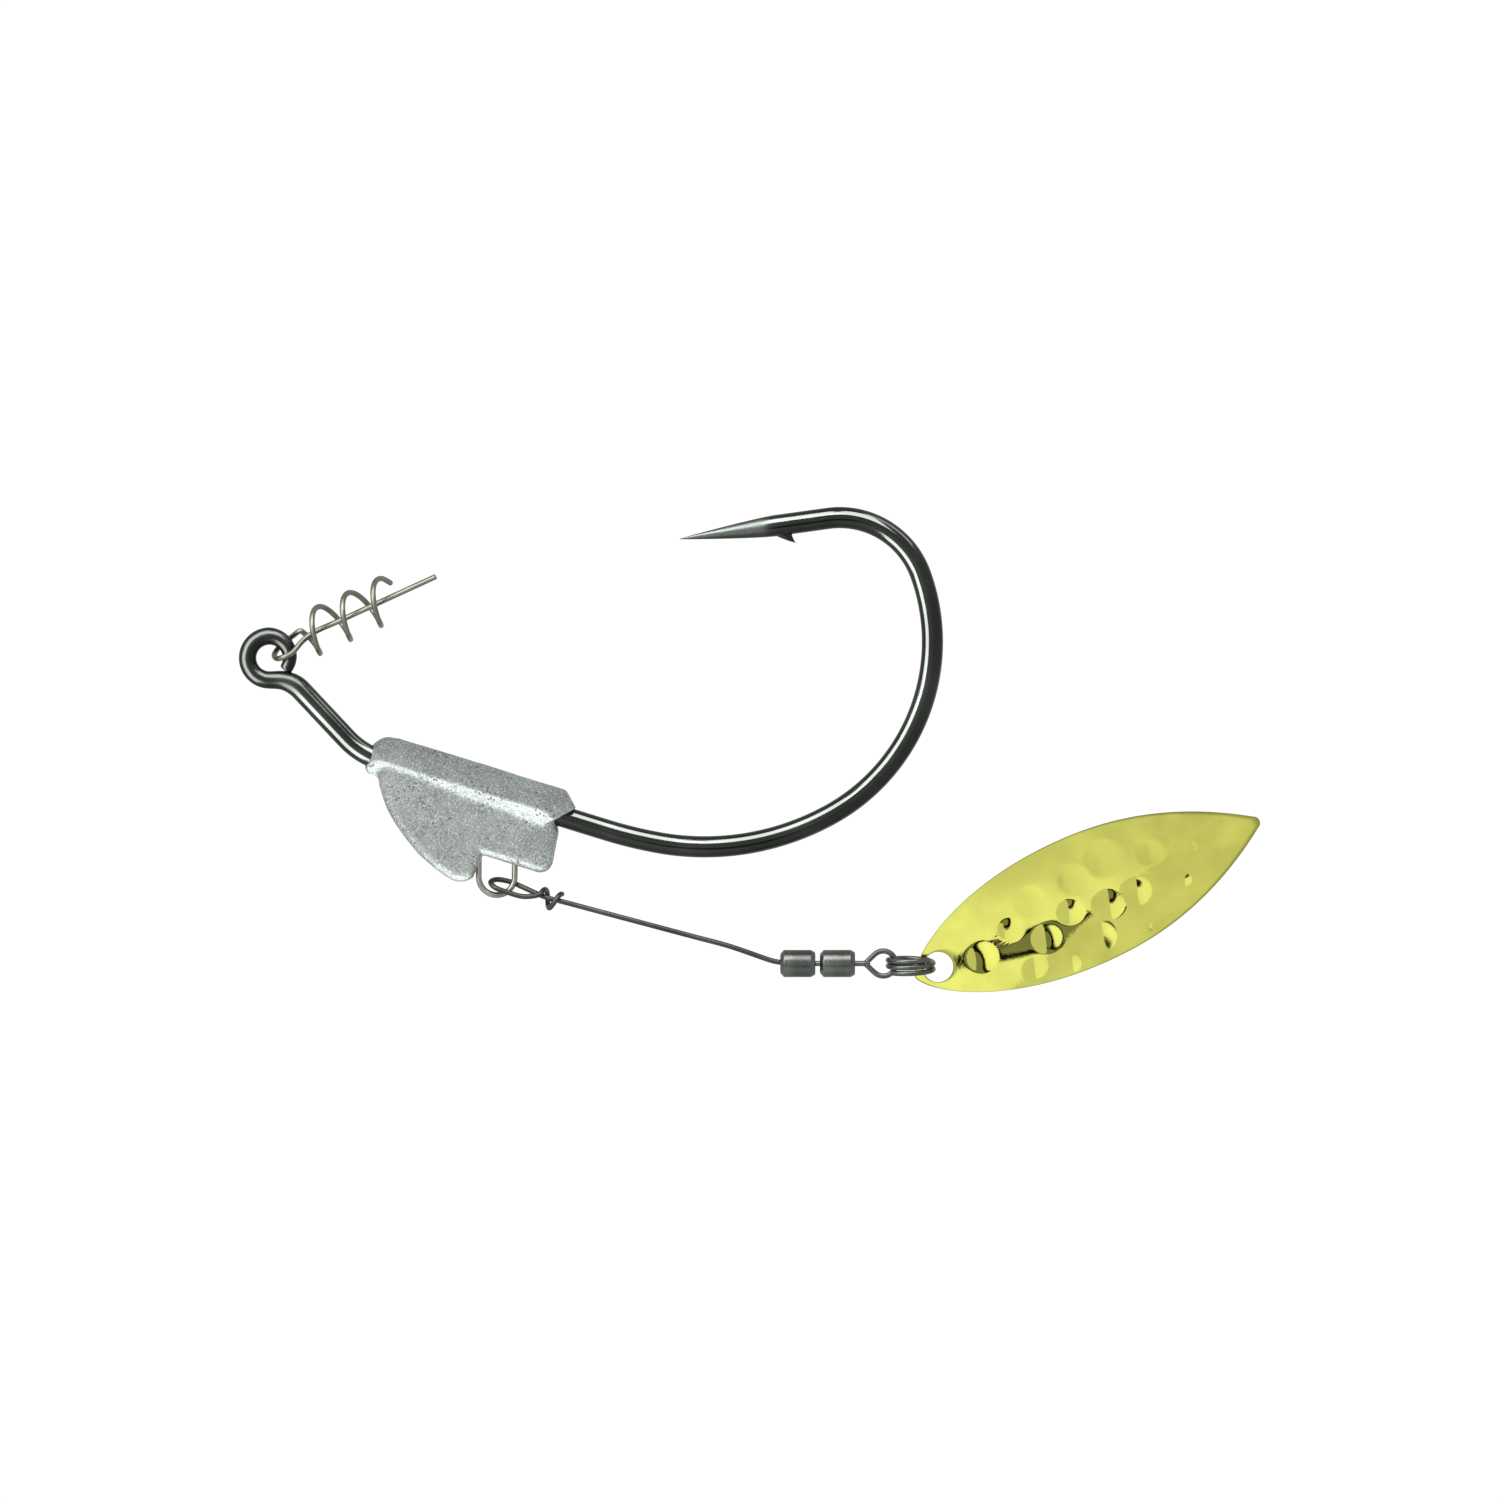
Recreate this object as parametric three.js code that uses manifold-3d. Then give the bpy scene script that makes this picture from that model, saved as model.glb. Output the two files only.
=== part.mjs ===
// Weighted swimbait hook with a screw-in bait keeper and a trailing spinner blade.
//
// Millimetres and degrees. Every shape is drawn in the lure's own side view: x is up, towards the
// hook point, y runs along the lure from the hook eye to the blade tip, and z goes across it.
// The finished group is turned so that the lure hangs from its eye: the origin is the centre of
// the eye, +Z goes up the fishing line and +X points to the side of the hook point.
import * as THREE from 'three';
import { mergeVertices } from 'three/addons/utils/BufferGeometryUtils.js';
import Module from 'manifold-3d';

const wasm = await Module();
wasm.setup();

// ---------------------------------------------------------------- driving dimensions

// Hook
const HOOK_WIRE = 2.1;
const EYE_WIRE = 1.7; // the wire is drawn down round the eye
const EYE_TAG_WIRE = 1.2; // and thinner again at its cut end
const EYE_HOLE = 2.8;
const EYE_TURN = 303;
const EYE_LEAD = 0.8;
const THROAT_RADIUS = 3.34;
const THROAT_BEND = 46.8;
const LEG_LENGTH = 6.8;
const KNEE_RADIUS = 8.2;
const KNEE_BEND = 29.6;
const SHANK_LENGTH = 24.1;
const BEND_ARCS = [
  { radius: 45, turn: 7.1 },
  { radius: 26.7, turn: 38.8 },
  { radius: 20.2, turn: 81.4 },
  { radius: 8.8, turn: 77.8 },
];
const SPEAR_LENGTH = 15.3;
const POINT_LENGTH = 9.8;
const POINT_TIP = 0.12;
const BARB_SETBACK = 11.6; // from the point back to the barb's tip
const BARB_RISE = 1.0; // above the wire's surface
const BARB_ROOT = 2.3;
const BARB_WIDTH = 0.9;

// Bait keeper: a centring pin, a loop through the hook eye and a screw coil round the pin
const KEEPER_WIRE = 0.57;
const KEEPER_ANGLE = 24.4;
const KEEPER_BASE = new THREE.Vector2(2.38, 4.08); // where the pin leaves the loop
const KEEPER_LEAN = 15; // its tip leans towards the near side
const PIN_LENGTH = 14.9;
const LOOP_REACH = 4.2; // from the pin's base to the loop's nose
const LOOP_SAG = 1.0; // the front strand bows this far below the pin
const COIL_DIAMETER = 5.0;
const COIL_PITCH = 3.57;
const COIL_TURNS = 2.65;
const COIL_START = 0.33;

// Belly weight, cast round the shank: a tapered body above and a flat keel below
const WEIGHT_START = -1.55; // from the start of the shank
const BODY_LENGTH = 22.05;
const BODY_TOP = 2.7;
const BODY_FRONT_WIDTH = 3.3;
const BODY_REAR_WIDTH = 6.4;
const BODY_SHOULDER = 1.5;
const BODY_CROWN = 0.3; // the flat on top, as a share of the width
const BODY_FLARE = 0.82; // the width at the shoulders, as a share of the widest
const NOSE_RADIUS = 2.5;
const TAIL_CHAMFER = 3.4;
const TAIL_TAPER = 25;
const TAIL_SLOPE = 35;
const KEEL_THICKNESS = 2.8;
const KEEL_BEVEL = 0.45;
const KEEL_DEPTH = 9.6; // at its lowest corner
const KEEL_CORNER = 12.9; // from the weight's nose
const KEEL_FRONT = 1.7; // from the weight's nose
const KEEL_TAIL = 0.6; // short of the weight's tail
const HEEL_DEPTH = 6.2; // behind the notch
const NOTCH_START = 14.4;
const HEEL_RADIUS = 1.3;

// Weight loop, cast into the notch
const WEIGHT_LOOP_WIRE = 0.62;
const WEIGHT_LOOP_DIAMETER = 4.3;
const WEIGHT_LOOP_SETBACK = 1.45; // from the notch's front to the loop's centre
const WEIGHT_LOOP_DROP = 1.8; // from the notch's roof to the loop's centre
const WEIGHT_LOOP_ROOT = 2.4; // how deep its legs go into the casting

// Spinner arm
const ARM_WIRE = 0.54;
const ARM_ANGLE = -15.5;
const ARM_LENGTH = 24.7; // from the wrap to the bend at the swivel
const ARM_DROP = 0.28; // its end droops this far below the straight line
const ARM_BOW = 0.2; // and it stands this far above the line just before
const ARM_LOOP_TILT = 55;
const ARM_LOOP_SETBACK = 3.6; // from the wrap to where the weight loop crosses
const ARM_LOOP_REACH = 1.033; // from there to the nose, as a share of the weight loop's radius
const ARM_HANG = 0.78; // how far behind the weight loop's centre it crosses, in the same share
const ARM_OFFSET = 0.65; // the arm's line passes this far below the weight loop's centre
const WRAP_RADIUS = 0.86;
const WRAP_PITCH = 1.75;
const ARM_HEAD = 1.3;

// Swivel: two barrels joined by a double-headed pin, and an eye in the rear one
const BARREL_DIAMETER = 2.8;
const BARREL_LENGTH = 3.6;
const BARREL_BORE = 2.1;
const BARREL_CHAMFER = 0.28;
const BARREL_END_WALL = 0.45;
const BARREL_RECESS = 0.3;
const BARREL_GAP = 0.47;
const PIN_WIRE = 0.56;
const PIN_HEAD = 1.4;
const PIN_HEAD_LENGTH = 0.5;
const NECK_LENGTH = 1.35;
const SWIVEL_EYE_OUTSIDE = 3.12;
const SWIVEL_EYE_LENGTH = 3.1;

// Split ring
const RING_WIRE = 0.56;
const RING_OUTSIDE = 5.15;
const RING_TURNS = 2.28;
const RING_TILT = 7;
const RING_STRAND_GAP = 0.05;
const RING_DROP = 0.1; // below the swivel's axis
const RING_GAP = 0.1; // between its strands and the inside of the swivel's eye

// Blade
const BLADE_LENGTH = 38.8;
const BLADE_TIP_RADIUS = 0.7;
const BLADE_WIDTH = 13.4;
const BLADE_THICKNESS = 0.5;
const BLADE_ANGLE = 24.5;
const BLADE_HOLE = 3.1;
const BLADE_HOLE_SETBACK = 2.6;
const BLADE_HOLE_FRONT = 1.03; // the hole's edge lies this far inside the ring's rear strands
const BLADE_DROP = 0.35; // of its hole below the swivel's axis
const BLADE_WIDEST = 18.8; // from the hole end
const BLADE_CUP = 1.5; // rise of the edges over the middle line
const BLADE_BOW = 1.2; // rise of the hole over the middle

// Fits
const CAST_GAP = 0.12; // between a casting and the wire it holds
const LINK_GAP = 0.2; // between wires that pass through each other
const RUNNING_GAP = 0.22; // between a pin and its hole
const END_PLAY = 0.25; // between a pin's head and the wall it bears on

const BENT_STEP = 9; // degrees between stations round a bend

// ---------------------------------------------------------------- geometry helpers

const rad = THREE.MathUtils.degToRad;

// A direction in the side view, turned up from the lure's long axis by an angle in degrees.
const direction = (angle) => new THREE.Vector2(Math.sin(rad(angle)), Math.cos(rad(angle)));

const inSideView = (points) => points.map((p) => new THREE.Vector3(p.x, p.y, 0));

// A closed mesh as a solid that can be cut and joined.
function solidOf(geometry) {
  const bare = geometry.clone();
  bare.deleteAttribute('normal');
  bare.deleteAttribute('uv');
  const merged = mergeVertices(bare, 1e-5);
  const index = merged.index.array;
  const corners = [];
  for (let i = 0; i < index.length; i += 3) {
    const [a, b, c] = index.slice(i, i + 3);
    if (a !== b && b !== c && c !== a) corners.push(a, b, c);
  }
  return new wasm.Manifold(new wasm.Mesh({
    numProp: 3,
    vertProperties: new Float32Array(merged.attributes.position.array),
    triVerts: new Uint32Array(corners),
  }));
}

function geometryOf(solid) {
  const mesh = solid.getMesh();
  const geometry = new THREE.BufferGeometry();
  geometry.setAttribute('position', new THREE.BufferAttribute(mesh.vertProperties, 3));
  geometry.setIndex(new THREE.BufferAttribute(mesh.triVerts, 1));
  geometry.computeVertexNormals();
  return geometry;
}

const joined = (...geometries) => geometryOf(
  geometries.map(solidOf).reduce((whole, piece) => whole.add(piece)),
);

const cut = (geometry, ...tools) => geometryOf(
  tools.map(solidOf).reduce((rest, tool) => rest.subtract(tool), solidOf(geometry)),
);

// Stations along a row of straights and bends in the side view. A stretch is { length } or
// { radius, turn }, and a positive turn goes up, towards the hook point.
function bentRoute(start, heading, stretches) {
  const points = [start.clone()];
  let angle = heading;
  let place = start.clone();
  for (const { length, radius, turn } of stretches) {
    const steps = length === undefined ? Math.ceil(Math.abs(turn) / BENT_STEP) : 1;
    const chord = length ?? 2 * radius * Math.sin(rad(Math.abs(turn)) / (2 * steps));
    for (let i = 0; i < steps; i += 1) {
      angle += (turn ?? 0) / (2 * steps);
      place = place.clone().addScaledVector(direction(angle), chord);
      angle += (turn ?? 0) / (2 * steps);
      points.push(place);
    }
  }
  return { points, heading: angle };
}

// One frame for each station, carried along the route without twisting.
function framesAlong(points) {
  const last = points.length - 1;
  const tangents = points.map((_, i) => new THREE.Vector3()
    .subVectors(points[Math.min(i + 1, last)], points[Math.max(i - 1, 0)]).normalize());
  const normal = new THREE.Vector3(0, 0, 1).cross(tangents[0]);
  if (normal.length() < 0.1) normal.set(1, 0, 0).cross(tangents[0]);
  normal.normalize();
  return points.map((point, i) => {
    const before = tangents[Math.max(i - 1, 0)];
    normal.applyQuaternion(new THREE.Quaternion().setFromUnitVectors(before, tangents[i]));
    const binormal = new THREE.Vector3().crossVectors(normal, tangents[i]);
    return { point, normal: normal.clone(), binormal };
  });
}

// A bar turned straight, with its own radius at each station, and then bent along the stations.
function bentBar(points, radiusAt, sides = 8) {
  const last = points.length - 1;
  const profile = [new THREE.Vector2(0, 0)];
  for (let i = 0; i <= last; i += 1) profile.push(new THREE.Vector2(radiusAt(i), i));
  profile.push(new THREE.Vector2(0, last));
  const bar = new THREE.LatheGeometry(profile, sides);
  const frames = framesAlong(points);
  const { position } = bar.attributes;
  const place = new THREE.Vector3();
  for (let i = 0; i < position.count; i += 1) {
    const { point, normal, binormal } = frames[Math.round(position.getY(i))];
    place.copy(point)
      .addScaledVector(normal, position.getX(i))
      .addScaledVector(binormal, position.getZ(i));
    position.setXYZ(i, place.x, place.y, place.z);
  }
  return bar;
}

// Points of a smooth curve through a few chosen ones.
const smooth = (points, count) => new THREE.CatmullRomCurve3(points, false, 'centripetal')
  .getSpacedPoints(count);

// A ring-shaped section turned round the lure's long axis: [radius, distance along] pairs.
const turned = (pairs, sides = 20) => new THREE.LatheGeometry(
  pairs.map(([radius, along]) => new THREE.Vector2(radius, along)), sides,
);

const metal = (color, roughness) => new THREE.MeshStandardMaterial({
  color, roughness, metalness: 1,
});

const FINISH = {
  blackNickel: metal('#3f4644', 0.18),
  lead: metal('#a9b0b2', 0.55),
  stainless: metal('#a09c8e', 0.35),
  gunmetal: metal('#6d7272', 0.35),
  gold: metal('#d3d35c', 0.15),
};

function piece(name, geometry, material) {
  const mesh = new THREE.Mesh(geometry, material);
  mesh.name = name;
  return mesh;
}

// ---------------------------------------------------------------- hook

// The eye is a turn of wire round its hole, so its centre line follows the tapering wire.
function eyeRoute() {
  const steps = Math.ceil(EYE_TURN / 15);
  const stations = [];
  for (let i = 0; i < steps; i += 1) {
    const done = i / steps;
    const wire = THREE.MathUtils.lerp(EYE_TAG_WIRE, EYE_WIRE, Math.min(1, 2.4 * done));
    const reach = (EYE_HOLE + wire) / 2;
    const angle = 270 - EYE_TURN * (1 - done);
    stations.push({ point: direction(angle).multiplyScalar(reach), wire });
  }
  return stations;
}

function hookRoute() {
  const eye = eyeRoute();
  const floor = new THREE.Vector2(-(EYE_HOLE + EYE_WIRE) / 2, 0);
  const front = bentRoute(floor, 0, [
    { length: EYE_LEAD },
    { radius: THROAT_RADIUS, turn: -THROAT_BEND },
    { length: LEG_LENGTH },
    { radius: KNEE_RADIUS, turn: KNEE_BEND },
  ]);
  const shankStart = front.points.at(-1);
  const rest = bentRoute(shankStart, front.heading, [
    { length: SHANK_LENGTH },
    ...BEND_ARCS,
    { length: SPEAR_LENGTH - POINT_LENGTH },
    { length: POINT_LENGTH },
  ]);
  const body = [...front.points, ...rest.points.slice(1)];
  const points = inSideView([...eye.map((station) => station.point), ...body]);
  const tip = points.length - 1;
  const wireAt = (i) => {
    if (i < eye.length) return eye[i].wire;
    if (i === eye.length) return EYE_WIRE;
    return i === tip ? POINT_TIP : HOOK_WIRE;
  };
  return { points, wireAt, shankStart, shankHeading: front.heading, spearHeading: rest.heading };
}

// The barb is a sliver raised from the gap side of the spear, aimed back towards the bend.
function barb(route) {
  const back = direction(route.spearHeading + 180);
  const inward = direction(route.spearHeading + 90);
  const point = new THREE.Vector2(route.points.at(-1).x, route.points.at(-1).y);
  const tip = point.clone()
    .addScaledVector(back, BARB_SETBACK)
    .addScaledVector(inward, HOOK_WIRE / 2 + BARB_RISE);
  const root = point.clone()
    .addScaledVector(back, BARB_SETBACK - BARB_ROOT)
    .addScaledVector(inward, HOOK_WIRE / 4);
  const height = tip.distanceTo(root);
  const spike = new THREE.ConeGeometry(BARB_WIDTH / 2, height, 8);
  spike.translate(0, height / 2, 0);
  spike.rotateZ(-Math.atan2(tip.x - root.x, tip.y - root.y));
  spike.translate(root.x, root.y, 0);
  return spike;
}

const route = hookRoute();
const hookWire = bentBar(route.points, (i) => route.wireAt(i) / 2, 12);
const hook = joined(hookWire, barb(route));

// ---------------------------------------------------------------- belly weight

// Places in the casting are measured along the shank and square to it.
const shankDirection = direction(route.shankHeading);
const shankNormal = direction(route.shankHeading + 90);
const onShank = (along, up) => route.shankStart.clone()
  .addScaledVector(shankDirection, along)
  .addScaledVector(shankNormal, up);

function toShank(geometry) {
  geometry.rotateZ(-rad(route.shankHeading));
  return geometry.translate(route.shankStart.x, route.shankStart.y, 0);
}

// The body's section is round-shouldered above the shank and a V below it. It narrows forward.
function weightBody() {
  const half = BODY_REAR_WIDTH / 2;
  const section = new THREE.Shape();
  section.moveTo(-half, 0);
  section.lineTo(0, -half);
  section.lineTo(BODY_TOP - BODY_SHOULDER, -half * BODY_FLARE);
  section.quadraticCurveTo(BODY_TOP, -half * 0.74, BODY_TOP, -half * BODY_CROWN);
  section.lineTo(BODY_TOP, half * BODY_CROWN);
  section.quadraticCurveTo(BODY_TOP, half * 0.74, BODY_TOP - BODY_SHOULDER, half * BODY_FLARE);
  section.lineTo(0, half);
  const body = new THREE.ExtrudeGeometry(section, {
    depth: BODY_LENGTH, steps: 1, bevelEnabled: false, curveSegments: 4,
  });
  const { position } = body.attributes;
  for (let i = 0; i < position.count; i += 1) {
    const rear = position.getZ(i) / BODY_LENGTH;
    const width = THREE.MathUtils.lerp(BODY_FRONT_WIDTH / BODY_REAR_WIDTH, 1, rear);
    position.setY(i, position.getY(i) * width);
    if (position.getX(i) < 0) position.setX(i, position.getX(i) * width);
  }
  body.rotateX(-Math.PI / 2);
  return body.translate(0, WEIGHT_START, 0);
}

// The body's outline from the side: a round nose and a sloping tail.
function bodyOutline() {
  const tail = WEIGHT_START + BODY_LENGTH;
  const slope = Math.tan(rad(TAIL_SLOPE));
  const shape = new THREE.Shape();
  shape.moveTo(BODY_TOP - NOSE_RADIUS, WEIGHT_START);
  shape.absarc(BODY_TOP - NOSE_RADIUS, WEIGHT_START + NOSE_RADIUS, NOSE_RADIUS, -Math.PI / 2, 0);
  shape.lineTo(BODY_TOP, tail - BODY_SHOULDER);
  shape.lineTo(BODY_TOP - BODY_SHOULDER, tail);
  shape.lineTo(-BODY_TOP, tail - 2 * BODY_TOP * slope);
  shape.lineTo(-BODY_REAR_WIDTH / 2, WEIGHT_START + NOSE_RADIUS);
  shape.lineTo(-BODY_FRONT_WIDTH / 2, WEIGHT_START + NOSE_RADIUS * 0.6);
  const slab = new THREE.ExtrudeGeometry(shape, {
    depth: 2 * BODY_REAR_WIDTH, bevelEnabled: false, curveSegments: 6,
  });
  return slab.translate(0, 0, -BODY_REAR_WIDTH);
}

function tailChamfer(side) {
  const tail = WEIGHT_START + BODY_LENGTH;
  const size = 2 * TAIL_CHAMFER;
  const block = new THREE.BoxGeometry(4 * BODY_TOP, size * 2, size);
  block.translate(0, 0, size / 2);
  block.rotateX(-rad(TAIL_TAPER));
  block.translate(0, tail - TAIL_CHAMFER, BODY_REAR_WIDTH / 2);
  return side > 0 ? block : block.rotateY(Math.PI);
}

// The keel is a flat plate with bevelled edges, a curved front, a low corner and a notch.
function keel() {
  const nose = WEIGHT_START;
  const tail = nose + BODY_LENGTH;
  const notch = nose + NOTCH_START;
  const corner = nose + KEEL_CORNER;
  const front = nose + KEEL_FRONT;
  const heel = tail - KEEL_TAIL;
  const plate = new THREE.Shape();
  plate.moveTo(0.8, front + 0.3);
  plate.lineTo(-1.4, front);
  plate.bezierCurveTo(-4.6, front + 0.9, -8.4, front + 5.5, -KEEL_DEPTH, corner - 0.9);
  plate.quadraticCurveTo(-KEEL_DEPTH - 0.1, corner + 0.4, -KEEL_DEPTH + 0.9, notch - 0.35);
  plate.lineTo(-HEEL_DEPTH, notch);
  plate.lineTo(-HEEL_DEPTH, heel - HEEL_RADIUS);
  plate.absarc(
    -HEEL_DEPTH + HEEL_RADIUS, heel - HEEL_RADIUS, HEEL_RADIUS, Math.PI, Math.PI / 2, true,
  );
  plate.lineTo(-1.6, heel - 0.4);
  plate.lineTo(0.8, heel - 1.6);
  const slab = new THREE.ExtrudeGeometry(plate, {
    depth: KEEL_THICKNESS - 2 * KEEL_BEVEL,
    bevelSize: KEEL_BEVEL,
    bevelOffset: -KEEL_BEVEL,
    bevelThickness: KEEL_BEVEL,
    bevelSegments: 1,
    curveSegments: 6,
  });
  return slab.translate(0, 0, KEEL_BEVEL - KEEL_THICKNESS / 2);
}

const loopRadius = (WEIGHT_LOOP_DIAMETER - WEIGHT_LOOP_WIRE) / 2;
const loopMiddle = WEIGHT_START + NOTCH_START + WEIGHT_LOOP_SETBACK;
const notchRoof = onShank(loopMiddle, -HEEL_DEPTH);
const loopCentre = new THREE.Vector2(notchRoof.x - WEIGHT_LOOP_DROP, notchRoof.y);

// The loop is a U whose legs run straight up into the casting.
function loopRoute() {
  const top = loopCentre.x + WEIGHT_LOOP_DROP + WEIGHT_LOOP_ROOT;
  const drop = WEIGHT_LOOP_DROP + WEIGHT_LOOP_ROOT;
  return inSideView(bentRoute(new THREE.Vector2(top, loopCentre.y - loopRadius), -90, [
    { length: drop },
    { radius: loopRadius, turn: 180 },
    { length: drop },
  ]).points);
}

const loopPoints = loopRoute();
const weightLoop = bentBar(loopPoints, () => WEIGHT_LOOP_WIRE / 2);

function bellyWeight() {
  const body = geometryOf(solidOf(weightBody()).intersect(solidOf(bodyOutline())));
  const blank = cut(body, tailChamfer(1), tailChamfer(-1));
  const casting = toShank(joined(blank, keel()));
  const shankHole = bentBar(route.points, (i) => route.wireAt(i) / 2 + CAST_GAP, 12);
  const legHoles = bentBar(loopPoints, () => WEIGHT_LOOP_WIRE / 2 + CAST_GAP);
  return cut(casting, shankHole, legHoles);
}

// ---------------------------------------------------------------- bait keeper

// Places in the keeper are measured along its pin, square to the pin in the side view, and
// across the lure.
function keeperPlace(along, up, across) {
  const pivot = 1.6 - LOOP_REACH;
  const lean = rad(KEEPER_LEAN);
  const leant = pivot + (along - pivot) * Math.cos(lean) + across * Math.sin(lean);
  const place = KEEPER_BASE.clone()
    .addScaledVector(direction(KEEPER_ANGLE), leant)
    .addScaledVector(direction(KEEPER_ANGLE + 90), up);
  const side = across * Math.cos(lean) - (along - pivot) * Math.sin(lean);
  return new THREE.Vector3(place.x, place.y, side);
}

function keeperRoute() {
  const side = EYE_WIRE / 2 + KEEPER_WIRE / 2 + LINK_GAP;
  const coil = (COIL_DIAMETER - KEEPER_WIRE) / 2;
  const loop = smooth([
    keeperPlace(0.5, 0, 0),
    keeperPlace(-0.8, -0.35 * LOOP_SAG, -0.35 * side),
    keeperPlace(-2.1, -LOOP_SAG, -0.88 * side),
    keeperPlace(-3.1, -LOOP_SAG, -side),
    keeperPlace(0.35 - LOOP_REACH, -0.85 * LOOP_SAG, -0.62 * side),
    keeperPlace(-LOOP_REACH, -0.4 * LOOP_SAG, 0),
    keeperPlace(0.45 - LOOP_REACH, 0.1, 0.66 * side),
    keeperPlace(-3.0, 0.4, side),
    keeperPlace(-2.0, 0.6, side),
    keeperPlace(-0.9, 0.75, 0.85 * side),
  ], 26);
  const turns = [];
  const perTurn = 14;
  const first = 75;
  const last = 180 + 360 * COIL_TURNS;
  const steps = Math.ceil((last - first) / 360 * perTurn);
  for (let i = 0; i <= steps; i += 1) {
    const angle = THREE.MathUtils.lerp(first, last, i / steps);
    const grown = THREE.MathUtils.smoothstep(angle, first - 60, 190);
    const reach = THREE.MathUtils.lerp(1.05, coil, grown);
    const along = COIL_START + COIL_PITCH * (angle - 180) / 360;
    turns.push(keeperPlace(along, reach * Math.cos(rad(angle)), reach * Math.sin(rad(angle))));
  }
  return [keeperPlace(PIN_LENGTH, 0, 0), ...loop, ...turns];
}

const keeper = bentBar(keeperRoute(), () => KEEPER_WIRE / 2);

// ---------------------------------------------------------------- spinner arm

const armStart = loopCentre.clone()
  .addScaledVector(direction(ARM_ANGLE + 90), -ARM_OFFSET)
  .addScaledVector(direction(ARM_ANGLE), ARM_LOOP_SETBACK + loopRadius * ARM_HANG);
const armEnd = armStart.clone().addScaledVector(direction(ARM_ANGLE), ARM_LENGTH);
armEnd.x -= ARM_DROP;

function armPlace(along, up, across) {
  const place = armStart.clone()
    .addScaledVector(direction(ARM_ANGLE), along)
    .addScaledVector(direction(ARM_ANGLE + 90), up);
  return new THREE.Vector3(place.x, place.y, across);
}

// The arm bends level with the swivel's axis just before the front barrel, and its head bears on
// the inside of that barrel's front wall.
const armReach = new THREE.Vector3(armEnd.x - armStart.x, armEnd.y - armStart.y, 0);
const swivelAxis = armEnd.x;
const frontBarrelStart = armEnd.y + ARM_WIRE;
const headAlong = frontBarrelStart + BARREL_END_WALL + END_PLAY + ARM_HEAD / 2;

// The loop is a teardrop in a plane that leans across the lure, so that the weight loop's wire
// passes through it. The tag end then takes one turn round the arm and stands up.
function armRoute() {
  const half = ((WEIGHT_LOOP_WIRE + ARM_WIRE) / 2 + LINK_GAP) / Math.sin(rad(ARM_LOOP_TILT));
  const leaning = (along, out) => armPlace(
    along, out * Math.cos(rad(ARM_LOOP_TILT)), out * Math.sin(rad(ARM_LOOP_TILT)),
  );
  const middle = -ARM_LOOP_SETBACK;
  const nose = middle - loopRadius * ARM_LOOP_REACH;
  const loop = smooth([
    leaning(2, 0),
    leaning(0.3, 0.02),
    leaning(0.55 * middle, 0.6 * half),
    leaning(middle, half),
    leaning(nose + 0.5, 0.72 * half),
    leaning(nose, 0),
    leaning(nose + 0.5, -0.72 * half),
    leaning(middle, -half),
    leaning(0.5 * middle, -0.95 * half),
  ], 26);
  const wrap = [];
  const steps = 22;
  for (let i = 0; i <= steps; i += 1) {
    const turn = THREE.MathUtils.lerp(-0.22, 1.02, i / steps);
    const angle = rad(-360 * turn);
    const reach = WRAP_RADIUS - 0.1 * Math.cos(angle);
    wrap.push(armPlace(
      WRAP_PITCH * turn + 0.1, reach * Math.cos(angle), -reach * Math.sin(angle),
    ));
  }
  const stem = [headAlong, armEnd.y + ARM_WIRE / 2].map((y) => new THREE.Vector3(swivelAxis, y, 0));
  const elbow = armPlace(-ARM_WIRE / 2, 0, 0).add(armReach);
  return [...stem, elbow, armPlace(0.8 * ARM_LENGTH, ARM_BOW, 0), ...loop, ...wrap];
}

function spinnerArm() {
  const wire = bentBar(armRoute(), () => ARM_WIRE / 2);
  const head = new THREE.SphereGeometry(ARM_HEAD / 2, 12, 8);
  head.translate(swivelAxis, headAlong, 0);
  return joined(wire, head);
}

// ---------------------------------------------------------------- swivel

const rearBarrelStart = frontBarrelStart + BARREL_LENGTH + BARREL_GAP;

// A drawn tube whose ends are rolled in: each end wall leaves a hole for the wire, and the
// rear one is sunk below the rim.
function barrel(frontHole) {
  const outside = BARREL_DIAMETER / 2;
  const bore = BARREL_BORE / 2;
  const rearHole = PIN_WIRE / 2 + RUNNING_GAP;
  const rim = bore - 0.15;
  const rearFace = BARREL_LENGTH - BARREL_RECESS;
  return turned([
    [frontHole, 0],
    [outside - BARREL_CHAMFER, 0],
    [outside, BARREL_CHAMFER],
    [outside, BARREL_LENGTH - BARREL_CHAMFER],
    [outside - BARREL_CHAMFER / 2, BARREL_LENGTH],
    [rim, BARREL_LENGTH],
    [rim - 0.2, rearFace],
    [rearHole, rearFace],
    [rearHole, rearFace - BARREL_END_WALL],
    [bore, rearFace - BARREL_END_WALL],
    [bore, BARREL_END_WALL],
    [frontHole, BARREL_END_WALL],
    [frontHole, 0],
  ]);
}

// A wire with an upset head at each end that runs in the two facing walls.
const pinStart = BARREL_LENGTH - BARREL_RECESS - BARREL_END_WALL - END_PLAY - PIN_HEAD_LENGTH;
const pinEnd = BARREL_LENGTH + BARREL_GAP + BARREL_END_WALL + END_PLAY + PIN_HEAD_LENGTH;

const headedPin = () => turned([
  [0, pinStart],
  [PIN_HEAD / 2, pinStart],
  [PIN_HEAD / 2, pinStart + PIN_HEAD_LENGTH],
  [PIN_WIRE / 2, pinStart + PIN_HEAD_LENGTH],
  [PIN_WIRE / 2, pinEnd - PIN_HEAD_LENGTH],
  [PIN_HEAD / 2, pinEnd - PIN_HEAD_LENGTH],
  [PIN_HEAD / 2, pinEnd],
  [0, pinEnd],
], 12);

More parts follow.
